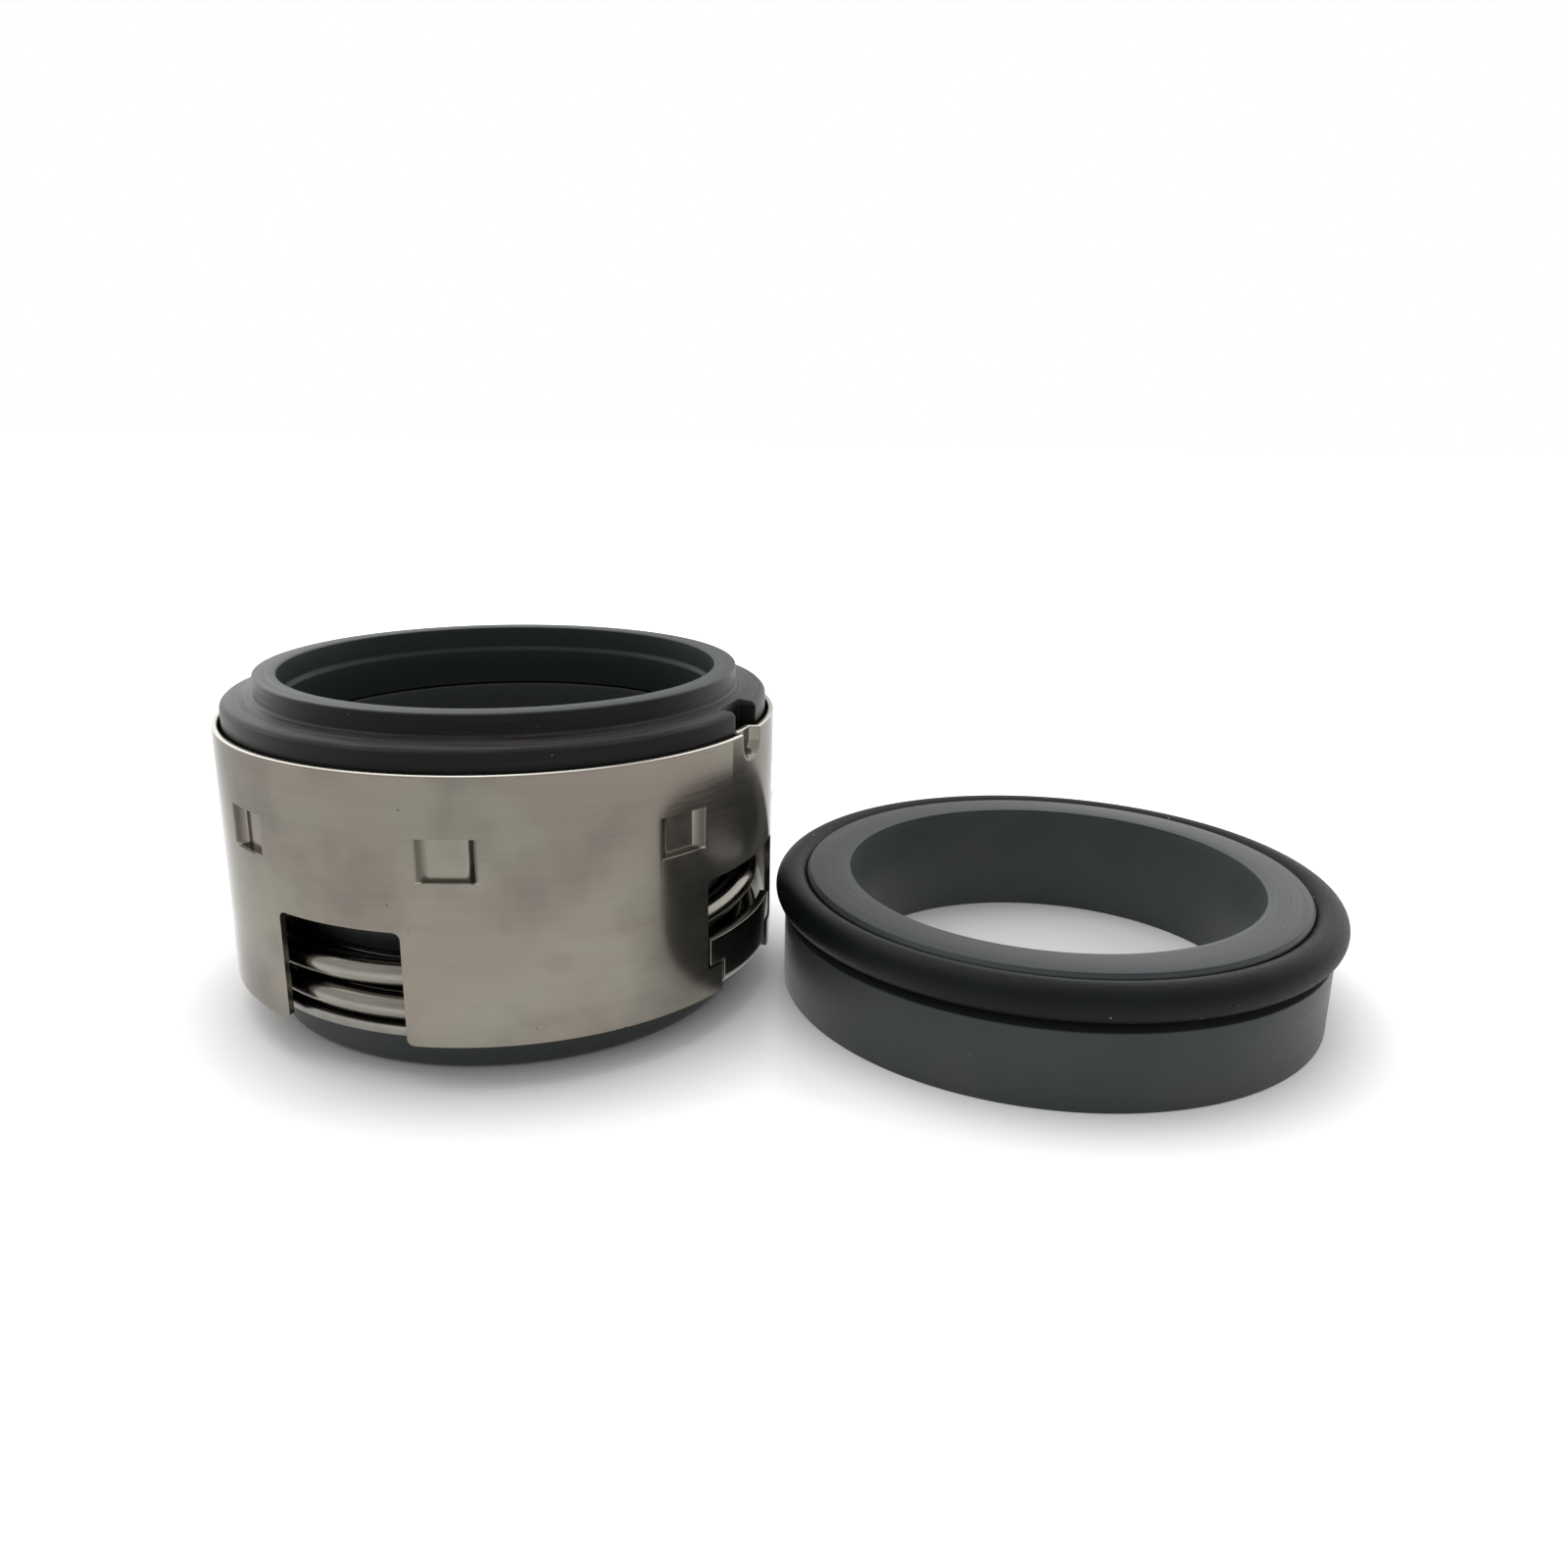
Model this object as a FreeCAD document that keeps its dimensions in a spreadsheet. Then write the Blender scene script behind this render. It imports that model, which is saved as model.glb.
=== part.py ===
import FreeCAD, Part
import Sketcher
import math
import os

# Rubber-bellows mechanical seal for a pump shaft: the rotating head, and the stationary seat that
# stands beside it. Lengths are millimetres and angles are degrees. +Z is the shaft's axis. The origin
# is on that axis, on the surface that the bellows' tail stands on, and +X points to the seat.

# Driving dimensions: name, value and what it is
DRIVING = [
    ("shaft_diameter", 55.0, "shaft that the seal is made for"),
    ("head_turn", -19.4, "direction of the first drive key, seen from above"),
    ("rubber_gap", 0.3, "gap that keeps the rubber clear of the pieces that move past it"),
    ("seating_gap", 0.05, "gap between pieces that rest on each other"),
    ("side_gap", 0.8, "space between the shell and the O-ring of the seat that stands beside it"),
    ("bore_relief", 0.5, "play between the shaft and all that doesn't grip it"),
    ("tail_wall", 2.15, "rubber between the shaft and the drive ring"),
    ("foot_wall", 3.9, "rubber from the shaft to the outside of the bellows' foot"),
    ("foot_round", 0.8, "rounding of the foot's lower edge"),
    ("neck_wall", 1.65, "rubber of the bellows' thin wall"),
    ("fold_bulge", 1.25, "how far the bellows' fold stands out"),
    ("fold_height", 6.6, "length of the fold along the shaft"),
    ("fold_rise", 0.5, "start of the fold above the drive ring's band"),
    ("grip_drop", 1.0, "end of the bellows' grip on the shaft below the start of the fold"),
    ("head_wall", 9.1, "from the shaft to the outside of the shell"),
    ("shell_wall", 0.8, "sheet of the retainer shell"),
    ("shell_drop", 0.1, "how far the shell's lower edge hangs below the flange"),
    ("rim_height", 2.8, "rim of the shell above the primary ring's back face"),
    ("rim_round", 0.3, "rounding of the shell's rim"),
    ("open_window_width", 17.0, "window that shows the spring"),
    ("open_window_height", 14.0, "open window from the shell's lower edge up"),
    ("key_window_width", 20.6, "window that takes the head of a drive key"),
    ("key_window_height", 15.6, "keyed window from the shell's lower edge up"),
    ("foot_space", 15.1, "space between the two feet of a keyed window"),
    ("foot_height", 3.6, "height of the feet that hold the key"),
    ("window_round", 0.9, "corner rounding of the windows"),
    ("dimple_count", 8, "square dimples round the shell"),
    ("dimple_height", 5.2, "dimple from its lower to its upper edge"),
    ("dimple_floor", 4.4, "width of the dimple's floor"),
    ("dimple_flank", 1.1, "width of each rounded side of a dimple"),
    ("dimple_depth", 1.1, "depth of the dimples"),
    ("dent_width", 3.9, "floor of a drive dent"),
    ("dent_depth", 1.3, "depth of the drive dents"),
    ("dent_draw", 25.0, "slope of a drive dent's sides"),
    ("dent_corner", 1.2, "corner rounding of a drive dent"),
    ("head_room", 4.5, "from the top of the dimples to the primary ring's back face"),
    ("ring_gap", 0.35, "gap between the primary ring and the shell"),
    ("ring_edge_height", 5.0, "primary ring from its back face to the edge of its shoulder"),
    ("ring_bevel", 0.5, "bevel on the shoulder's outer edge"),
    ("shoulder_rise", 0.8, "slope of the shoulder from its edge to the nose"),
    ("nose_height", 2.7, "sealing nose above the shoulder"),
    ("nose_wall", 2.9, "width of the sealing face"),
    ("nose_step", 0.5, "how much wider the nose's bore is than the ring's"),
    ("nose_drop", 0.3, "end of the nose's wider bore below the foot of the nose"),
    ("nose_fillet", 0.4, "fillet at the foot of the nose"),
    ("notch_play", 0.95, "play of a dent in its notch, on each side"),
    ("notch_depth", 2.5, "depth of the notches in the shoulder"),
    ("ring_lag", 1.2, "how far the primary ring is turned in its play, as an angle"),
    ("flange_bottom", 5.7, "underside of the drive ring's flange"),
    ("flange_gap", 1.2, "from the flange and the spring to the inside of the shell"),
    ("band_wall", 1.2, "sheet of the drive ring"),
    ("band_height", 8.3, "drive ring from its underside to the top of its band"),
    ("bend_round", 0.4, "inner radius of the sheet's bends"),
    ("key_height", 3.5, "head of a drive key from its lower to its upper edge"),
    ("key_play", 0.75, "play of a key in its window, on each side"),
    ("key_flush", 0.15, "key's outer face inside the shell's outer face"),
    ("wire_diameter", 3.4, "spring wire"),
    ("spring_height", 17.45, "length of the spring over its wire"),
    ("spring_turns", 1.6, "turns of the spring that climb"),
    ("spring_flat", 210.0, "flat end of the spring, as an angle"),
    ("spring_turn", 100.0, "start of the spring's climb, from the first key"),
    ("disc_wall", 1.2, "sheet of the spring disc"),
    ("collar_height", 2.5, "collar of the spring disc"),
    ("seat_play", 0.7, "play between the shaft and the seat's bore"),
    ("seat_wall", 9.0, "seat from its bore to the outside of its body"),
    ("seat_step", 10.2, "height of the seat's body"),
    ("spigot_height", 5.8, "seat's face above its body"),
    ("spigot_inset", 2.95, "step from the body in to the spigot"),
    ("seat_bevel", 0.5, "bevel round the seat's face"),
    ("edge_break", 0.25, "small break on the hard rings' other edges"),
    ("groove_depth", 0.65, "O-ring groove in the spigot"),
    ("groove_height", 4.0, "width of the O-ring groove along the shaft"),
    ("o_ring_section", 4.8, "thickness of the O-ring"),
    ("o_ring_play", 0.15, "gap between the O-ring and the groove's floor"),
    ("o_ring_lift", 1.0, "gap between the O-ring and the seat's body"),
]

SHEET_NAME = "Sizes"
HALF = 0.5
FULL_TURN = 360.0
PAIR = 2
# How far a cutting outline runs past the material that it cuts
OVERCUT = 1.0


class Size:
    """A size that knows its value and the sheet formula that gives it."""

    def __init__(self, value, formula):
        self.value = float(value)
        self.formula = formula

    def __add__(self, other):
        other = as_size(other)
        return Size(self.value + other.value, "(%s + %s)" % (self.formula, other.formula))

    def __sub__(self, other):
        other = as_size(other)
        return Size(self.value - other.value, "(%s - %s)" % (self.formula, other.formula))

    def __mul__(self, other):
        other = as_size(other)
        return Size(self.value * other.value, "(%s * %s)" % (self.formula, other.formula))

    def __truediv__(self, other):
        other = as_size(other)
        return Size(self.value / other.value, "(%s / %s)" % (self.formula, other.formula))

    def __neg__(self):
        return Size(-self.value, "(0 - %s)" % self.formula)


def as_size(number):
    if isinstance(number, Size):
        return number
    return Size(number, "%r" % float(number))


def arcsine(size):
    return Size(math.degrees(math.asin(size.value)), "asin(%s)" % size.formula)


def fill_sheet(document):
    sheet = document.addObject("Spreadsheet::Sheet", SHEET_NAME)
    sizes = {}
    for row, (alias, value, meaning) in enumerate(DRIVING, start=1):
        sheet.set("A%d" % row, meaning)
        sheet.set("B%d" % row, str(value))
        sheet.setAlias("B%d" % row, alias)
        sizes[alias] = Size(value, "%s.%s" % (SHEET_NAME, alias))
    document.recompute()
    return sizes


def add_shared_places(size):
    """Add the radii and heights that pieces share, each worked out from its neighbour and a gap."""
    shaft = size["shaft_diameter"] / 2
    size["shaft"] = shaft
    size["relief"] = shaft + size["bore_relief"]
    size["shell_outer"] = shaft + size["head_wall"]
    size["shell_inner"] = size["shell_outer"] - size["shell_wall"]
    size["flange_rim"] = size["shell_inner"] - size["flange_gap"]
    size["spring_middle"] = size["flange_rim"] - size["wire_diameter"] / 2
    size["neck"] = size["relief"] + size["neck_wall"]

    size["shell_bottom"] = size["flange_bottom"] - size["shell_drop"]
    size["foot_top"] = size["shell_bottom"] + size["foot_height"]
    size["band_top"] = size["flange_bottom"] + size["band_height"]
    size["spring_bottom"] = size["flange_bottom"] + size["band_wall"] + size["seating_gap"]
    size["spring_top"] = size["spring_bottom"] + size["spring_height"]
    size["disc_under"] = size["spring_top"] + size["seating_gap"]
    size["disc_top"] = size["disc_under"] + size["disc_wall"]
    size["dimple_bottom"] = size["disc_top"] + size["seating_gap"]
    size["dimple_top"] = size["dimple_bottom"] + size["dimple_height"]
    size["ring_bottom"] = size["dimple_top"] + size["head_room"]
    size["shell_top"] = size["ring_bottom"] + size["rim_height"]

    # The wall on a pressed form's sides is drawn out to half of the sheet
    size["drawn_wall"] = size["shell_wall"] * HALF
    size["dent_back"] = size["shell_inner"] - size["dent_depth"]
    size["bead_bottom"] = size["ring_bottom"] - size["drawn_wall"]

    size["seat_bore"] = shaft + size["seat_play"]
    size["seat_outer"] = size["seat_bore"] + size["seat_wall"]
    size["spigot"] = size["seat_outer"] - size["spigot_inset"]
    size["groove"] = size["spigot"] - size["groove_depth"]
    size["groove_bottom"] = size["seat_step"] + size["o_ring_lift"]
    size["o_ring_middle"] = size["groove"] + size["o_ring_play"] + size["o_ring_section"] / 2
    o_ring_outer = size["o_ring_middle"] + size["o_ring_section"] / 2
    size["seat_distance"] = size["shell_outer"] + size["side_gap"] + o_ring_outer


def origin_feature(body, role):
    for feature in body.Origin.OriginFeatures:
        if feature.Role == role:
            return feature
    raise ValueError(role)


def new_body(document, label, turn=None, shift=None):
    body = document.addObject("PartDesign::Body", label)
    body.Label = label
    if turn is not None:
        rotation = FreeCAD.Rotation(FreeCAD.Vector(0, 0, 1), turn.value)
        body.Placement = FreeCAD.Placement(FreeCAD.Vector(), rotation)
        body.setExpression("Placement.Rotation.Angle", turn.formula)
    if shift is not None:
        body.setExpression("Placement.Base.x", shift.formula)
    return body


def place_sketch(body, name, role, lift=None, turn=None, turn_axis=(0, 0, 1)):
    """Attach a sketch to one of the body's planes, lifted along its normal or turned."""
    sketch = body.newObject("Sketcher::SketchObject", name)
    sketch.AttachmentSupport = [(origin_feature(body, role), "")]
    sketch.MapMode = "FlatFace"
    if turn is not None:
        rotation = FreeCAD.Rotation(FreeCAD.Vector(*turn_axis), turn.value)
        sketch.AttachmentOffset = FreeCAD.Placement(FreeCAD.Vector(), rotation)
        sketch.setExpression("AttachmentOffset.Rotation.Angle", turn.formula)
    if lift is not None:
        sketch.setExpression("AttachmentOffset.Base.z", lift.formula)
    return sketch


def arc_centre(start, end, radius, side):
    """Centre of a short arc. side is 1 with the centre on the left of the way, -1 on its right."""
    across = end[0] - start[0]
    up = end[1] - start[1]
    chord = math.hypot(across, up)
    rise = math.sqrt(max(radius * radius - chord * chord / 4, 0))
    middle = ((start[0] + end[0]) * HALF, (start[1] + end[1]) * HALF)
    return (middle[0] - side * rise * up / chord, middle[1] + side * rise * across / chord)


def draw_outline(sketch, steps):
    """Draw a closed outline. A step is a corner (across, up), or an arc that ends there."""
    count = len(steps)
    corners = [(as_size(step[0]), as_size(step[1])) for step in steps]
    geometry = []
    ends = []
    for index, step in enumerate(steps):
        start = (corners[index - 1][0].value, corners[index - 1][1].value)
        end = (corners[index][0].value, corners[index][1].value)
        start_point = FreeCAD.Vector(start[0], start[1], 0)
        end_point = FreeCAD.Vector(end[0], end[1], 0)
        if len(step) == 2:
            geometry.append(Part.LineSegment(start_point, end_point))
            ends.append((1, 2))
            continue
        side = step[3]
        radius = as_size(step[2]).value
        centre = arc_centre(start, end, radius, side)
        first = math.atan2(start[1] - centre[1], start[0] - centre[0])
        last = math.atan2(end[1] - centre[1], end[0] - centre[0])
        circle = Part.Circle(FreeCAD.Vector(centre[0], centre[1], 0), FreeCAD.Vector(0, 0, 1), radius)
        if side > 0:
            geometry.append(Part.ArcOfCircle(circle, first, last))
            ends.append((1, 2))
        else:
            geometry.append(Part.ArcOfCircle(circle, last, first))
            ends.append((2, 1))
    sketch.addGeometry(geometry, False)
    constraints = []
    bound = []
    for index in range(count):
        after = (index + 1) % count
        joint = Sketcher.Constraint("Coincident", index, ends[index][1], after, ends[after][0])
        constraints.append(joint)
    for index, (across, up) in enumerate(corners):
        vertex = ends[index][1]
        constraints.append(Sketcher.Constraint("DistanceX", -1, 1, index, vertex, across.value))
        bound.append((len(constraints) - 1, across))
        constraints.append(Sketcher.Constraint("DistanceY", -1, 1, index, vertex, up.value))
        bound.append((len(constraints) - 1, up))
        if len(steps[index]) > 2:
            radius = as_size(steps[index][2])
            constraints.append(Sketcher.Constraint("Radius", index, radius.value))
            bound.append((len(constraints) - 1, radius))
    sketch.addConstraint(constraints)
    for number, size in bound:
        sketch.setExpression("Constraints[%d]" % number, size.formula)
    return sketch


def draw_circle(sketch, across, up, radius):
    centre = FreeCAD.Vector(across.value, up.value, 0)
    sketch.addGeometry(Part.Circle(centre, FreeCAD.Vector(0, 0, 1), radius.value), False)
    sketch.addConstraint([
        Sketcher.Constraint("DistanceX", -1, 1, 0, 3, across.value),
        Sketcher.Constraint("DistanceY", -1, 1, 0, 3, up.value),
        Sketcher.Constraint("Radius", 0, radius.value),
    ])
    for number, size in enumerate((across, up, radius)):
        sketch.setExpression("Constraints[%d]" % number, size.formula)
    return sketch


def revolve(body, name, sketch, angle=None, midplane=False, reverse=False):
    turned = body.newObject("PartDesign::Revolution", name)
    turned.Profile = sketch
    turned.ReferenceAxis = (sketch, ["V_Axis"])
    turned.Midplane = midplane
    turned.Reversed = reverse
    if angle is None:
        turned.Angle = FULL_TURN
    else:
        turned.Angle = angle.value
        turned.setExpression("Angle", angle.formula)
    return turned


def pad(body, name, sketch, length):
    block = body.newObject("PartDesign::Pad", name)
    block.Profile = sketch
    block.Type = "Length"
    block.Length = length.value
    block.setExpression("Length", length.formula)
    return block


def cut_out(body, name, sketch, length=None, draw=None):
    """Cut along the sketch's normal for a length, or both ways through everything."""
    cut = body.newObject("PartDesign::Pocket", name)
    cut.Profile = sketch
    if length is None:
        cut.Type = "ThroughAll"
        cut.SideType = "Symmetric"
        return cut
    cut.Type = "Length"
    cut.Length = length.value
    cut.Reversed = True
    cut.setExpression("Length", length.formula)
    if draw is not None:
        cut.TaperAngle = draw.value
        cut.setExpression("TaperAngle", draw.formula)
    return cut


def repeat_round(body, name, features, count):
    pattern = body.newObject("PartDesign::PolarPattern", name)
    pattern.Originals = features
    pattern.Axis = (origin_feature(body, "Z_Axis"), [""])
    pattern.Angle = FULL_TURN
    if isinstance(count, Size):
        pattern.Occurrences = int(count.value)
        pattern.setExpression("Occurrences", count.formula)
    else:
        pattern.Occurrences = count
    body.Tip = pattern
    return pattern


def window_outline(half_width, top, bottom, round_size):
    """A window that is open at the bottom, with rounded upper corners and flared lower ones."""
    flare = half_width + round_size
    return [
        (-flare, bottom - OVERCUT),
        (flare, bottom - OVERCUT),
        (flare, bottom),
        (half_width, bottom + round_size, round_size, -1),
        (half_width, top - round_size),
        (half_width - round_size, top, round_size, 1),
        (-(half_width - round_size), top),
        (-half_width, top - round_size, round_size, 1),
        (-half_width, bottom + round_size),
        (-flare, bottom, round_size, -1),
    ]


def keyed_window_outline(half_width, half_neck, size):
    """A wide window above two feet, which leave a narrower way out at the bottom."""
    bottom = size["shell_bottom"]
    foot = size["foot_top"]
    top = bottom + size["key_window_height"]
    corner = size["window_round"]
    return [
        (-half_neck, bottom - OVERCUT),
        (half_neck, bottom - OVERCUT),
        (half_neck, foot),
        (half_width, foot),
        (half_width, top - corner),
        (half_width - corner, top, corner, 1),
        (-(half_width - corner), top),
        (-half_width, top - corner, corner, 1),
        (-half_width, foot),
        (-half_neck, foot),
    ]


def retainer_shell(document, size):
    body = new_body(document, "retainer_shell", turn=size["head_turn"])
    outer = size["shell_outer"]
    inner = size["shell_inner"]
    bottom = size["shell_bottom"]
    top = size["shell_top"]
    lip = size["rim_round"]

    wall = place_sketch(body, "shell_wall_outline", "XZ_Plane")
    draw_outline(wall, [
        (inner, bottom),
        (outer, bottom),
        (outer, top - lip),
        (outer - lip, top, lip, 1),
        (inner + lip, top),
        (inner, top - lip, lip, 1),
    ])
    revolve(body, "shell_wall_ring", wall)

    half_open = size["open_window_width"] / 2
    open_window = place_sketch(body, "open_window_outline", "XZ_Plane")
    open_top = bottom + size["open_window_height"]
    draw_outline(open_window, window_outline(half_open, open_top, bottom, size["window_round"]))
    cut_out(body, "open_windows", open_window)

    half_key = size["key_window_width"] / 2
    half_neck = size["foot_space"] / 2
    key_window = place_sketch(body, "key_window_outline", "YZ_Plane")
    draw_outline(key_window, keyed_window_outline(half_key, half_neck, size))
    cut_out(body, "key_windows", key_window)

    # A dimple is pressed in between two sheared edges, so its plan is the same all the way up.
    # Each side of it is a round shoulder that leaves the shell's face smoothly.
    half_step = as_size(FULL_TURN * HALF) / size["dimple_count"]
    depth = size["dimple_depth"]
    flank = size["dimple_flank"]
    half_floor = size["dimple_floor"] / 2
    half_mouth = half_floor + flank
    floor = outer - depth
    back = floor - size["shell_wall"]
    side_wall = size["drawn_wall"]
    shoulder = (depth * depth + flank * flank) / (depth * 2)
    bump_plan = place_sketch(body, "dimple_back_plan", "XY_Plane", size["dimple_bottom"], half_step)
    draw_outline(bump_plan, [
        (back, -half_floor - side_wall),
        (inner + side_wall * HALF, -half_mouth - side_wall),
        (inner + side_wall * HALF, half_mouth + side_wall),
        (back, half_floor + side_wall),
    ])
    bump = pad(body, "dimple_back", bump_plan, size["dimple_height"])
    hollow_plan = place_sketch(body, "dimple_plan", "XY_Plane", size["dimple_bottom"], half_step)
    draw_outline(hollow_plan, [
        (floor, -half_floor),
        (outer, -half_mouth, shoulder, 1),
        (outer + OVERCUT, -half_mouth),
        (outer + OVERCUT, half_mouth),
        (outer, half_mouth),
        (floor, half_floor, shoulder, 1),
    ])
    hollow = cut_out(body, "dimple", hollow_plan, size["dimple_height"])
    repeat_round(body, "dimple_row", [bump, hollow], size["dimple_count"])

    # A drive dent is a U that is open at the rim and reaches down to the primary ring's back face
    half_dent = size["dent_width"] / 2
    dent_floor = outer - size["dent_depth"]
    dent_back = size["dent_back"]
    dent_bottom = size["ring_bottom"]
    corner = size["dent_corner"]
    half_bead = half_dent + side_wall
    bead_bottom = size["bead_bottom"]
    bead_plan = place_sketch(body, "dent_back_outline", "YZ_Plane", dent_back)
    draw_outline(bead_plan, dent_outline(half_bead, bead_bottom, top - lip, corner + side_wall))
    bead = pad(body, "dent_back", bead_plan, inner + side_wall - dent_back)
    dent_plan = place_sketch(body, "dent_floor_outline", "YZ_Plane", dent_floor)
    draw_outline(dent_plan, dent_outline(half_dent, dent_bottom, top + OVERCUT, corner))
    dent = cut_out(body, "dent", dent_plan, size["dent_depth"] + OVERCUT, size["dent_draw"])
    repeat_round(body, "dent_pair", [bead, dent], PAIR)
    return body


def dent_outline(half_width, bottom, top, corner):
    return [
        (-half_width, top),
        (-half_width, bottom + corner),
        (-(half_width - corner), bottom, corner, 1),
        (half_width - corner, bottom),
        (half_width, bottom + corner, corner, 1),
        (half_width, top),
    ]


def primary_ring(document, size):
    body = new_body(document, "primary_ring", turn=size["head_turn"] + size["ring_lag"])
    bore = size["relief"]
    nose_inner = bore + size["nose_step"]
    nose_outer = nose_inner + size["nose_wall"]
    shoulder = size["shell_inner"] - size["ring_gap"]
    back = size["ring_bottom"]
    edge = back + size["ring_edge_height"]
    nose_base = edge + size["shoulder_rise"]
    nose_top = nose_base + size["nose_height"]
    relief_end = nose_base - size["nose_drop"]
    bevel = size["ring_bevel"]
    small = size["edge_break"]
    fillet = size["nose_fillet"]
    profile = place_sketch(body, "ring_section", "XZ_Plane")
    draw_outline(profile, [
        (bore + small, back),
        (shoulder - small, back),
        (shoulder, back + small),
        (shoulder, edge),
        (shoulder - bevel, edge + bevel),
        (nose_outer + fillet, nose_base),
        (nose_outer, nose_base + fillet, fillet, -1),
        (nose_outer, nose_top - small),
        (nose_outer - small, nose_top),
        (nose_inner + small, nose_top),
        (nose_inner, nose_top - small),
        (nose_inner, relief_end),
        (bore, relief_end - size["nose_step"]),
        (bore, back + small),
    ])
    revolve(body, "ring_turned", profile)

    # A notch in the shoulder takes the back of each drive dent
    half_notch = size["dent_width"] / 2 + size["drawn_wall"] + size["notch_play"]
    floor = shoulder - size["notch_depth"]
    plan = place_sketch(body, "notch_plan", "XY_Plane")
    draw_outline(plan, [
        (floor, -half_notch),
        (shoulder + OVERCUT, -half_notch),
        (shoulder + OVERCUT, half_notch),
        (floor, half_notch),
    ])
    notch = cut_out(body, "notch", plan)
    repeat_round(body, "notch_pair", [notch], PAIR)
    return body


def bellows(document, size):
    body = new_body(document, "bellows", turn=size["head_turn"])
    bore = size["shaft"]
    foot = bore + size["foot_wall"]
    tail = bore + size["tail_wall"]
    relief = size["relief"]
    neck = size["neck"]
    foot_top = size["flange_bottom"] - size["seating_gap"]
    corner = size["foot_round"]
    fold_start = size["band_top"] + size["fold_rise"]
    fold_end = fold_start + size["fold_height"]
    bulge = size["fold_bulge"]
    half_fold = size["fold_height"] / 2
    # Radius of an arc from its height above its chord, and the chord's half length
    outer_fold = (half_fold * half_fold + bulge * bulge) / (bulge * 2)
    gap = size["rubber_gap"]
    head_top = size["ring_bottom"] - gap
    head_bottom = size["dimple_top"] + gap
    head_side = size["shell_inner"] - gap
    inside_dimples = size["shell_inner"] - size["dimple_depth"] - gap
    collar_top = size["dimple_bottom"] + gap
    # The head's upper edge is stepped, to pass inside and under the backs of the drive dents
    step = size["bead_bottom"] - gap
    inside_dents = size["dent_back"] - gap
    profile = place_sketch(body, "bellows_section", "XZ_Plane")
    draw_outline(profile, [
        (bore, 0),
        (foot - corner, 0),
        (foot, corner, corner, 1),
        (foot, foot_top),
        (tail, foot_top),
        (tail, fold_start),
        (neck, fold_end, outer_fold, 1),
        (neck, collar_top),
        (inside_dimples, collar_top),
        (inside_dimples, head_bottom),
        (head_side, head_bottom),
        (head_side, step),
        (inside_dents, step),
        (inside_dents, head_top),
        (relief, head_top),
        (relief, fold_end),
        (relief, fold_start, outer_fold, -1),
        (bore, fold_start - size["grip_drop"]),
    ])
    revolve(body, "bellows_moulding", profile)
    return body


def drive_ring(document, size):
    body = new_body(document, "drive_ring", turn=size["head_turn"])
    inner = size["shaft"] + size["tail_wall"] + size["seating_gap"]
    sheet = size["band_wall"]
    outer = inner + sheet
    bottom = size["flange_bottom"]
    bend = size["bend_round"]
    outer_bend = bend + sheet
    rim = size["flange_rim"]
    profile = place_sketch(body, "band_section", "XZ_Plane")
    draw_outline(profile, [
        (inner + outer_bend, bottom, outer_bend, 1),
        (rim, bottom),
        (rim, bottom + sheet),
        (outer + bend, bottom + sheet),
        (outer, bottom + outer_bend, bend, -1),
        (outer, size["band_top"]),
        (inner, size["band_top"]),
        (inner, bottom + outer_bend),
    ])
    revolve(body, "band", profile)

    # A key is a tab of the flange, bent up in its window, and its head is wider than its neck
    key_outer = size["shell_outer"] - size["key_flush"]
    key_inner = key_outer - sheet
    head_bottom = size["foot_top"] + size["rubber_gap"]
    head_top = head_bottom + size["key_height"]
    neck_angle = arcsine((size["foot_space"] / 2 - size["key_play"]) / key_outer) * 2
    head_angle = arcsine((size["key_window_width"] / 2 - size["key_play"]) / key_outer) * 2
    neck = place_sketch(body, "key_neck_section", "XZ_Plane")
    draw_outline(neck, [
        (rim - sheet, bottom),
        (key_outer - outer_bend, bottom),
        (key_outer, bottom + outer_bend, outer_bend, 1),
        (key_outer, head_bottom + sheet),
        (key_inner, head_bottom + sheet),
        (key_inner, bottom + outer_bend),
        (key_inner - bend, bottom + sheet, bend, -1),
        (rim - sheet, bottom + sheet),
    ])
    key_neck = revolve(body, "key_neck", neck, neck_angle, midplane=True)
    head = place_sketch(body, "key_head_section", "XZ_Plane")
    draw_outline(head, [
        (key_inner, head_bottom),
        (key_outer, head_bottom),
        (key_outer, head_top),
        (key_inner, head_top),
    ])
    key_head = revolve(body, "key_head", head, head_angle, midplane=True)
    repeat_round(body, "key_pair", [key_neck, key_head], PAIR)
    return body


def spring_disc(document, size):
    body = new_body(document, "spring_disc", turn=size["head_turn"])
    inner = size["neck"] + size["rubber_gap"]
    rim = size["shell_inner"] - size["rubber_gap"]
    bend = size["bend_round"]
    top = size["disc_top"]
    under = size["disc_under"]
    collar = size["spring_middle"] - size["wire_diameter"] / 2 - size["rubber_gap"]
    foot = under - size["collar_height"]
    profile = place_sketch(body, "disc_section", "XZ_Plane")
    draw_outline(profile, [
        (inner, foot),
        (collar, foot),
        (collar, under - bend),
        (collar + bend, under, bend, -1),
        (rim, under),
        (rim, top),
        (inner + bend, top),
        (inner, top - bend, bend, 1),
    ])
    revolve(body, "disc", profile)
    return body


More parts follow.
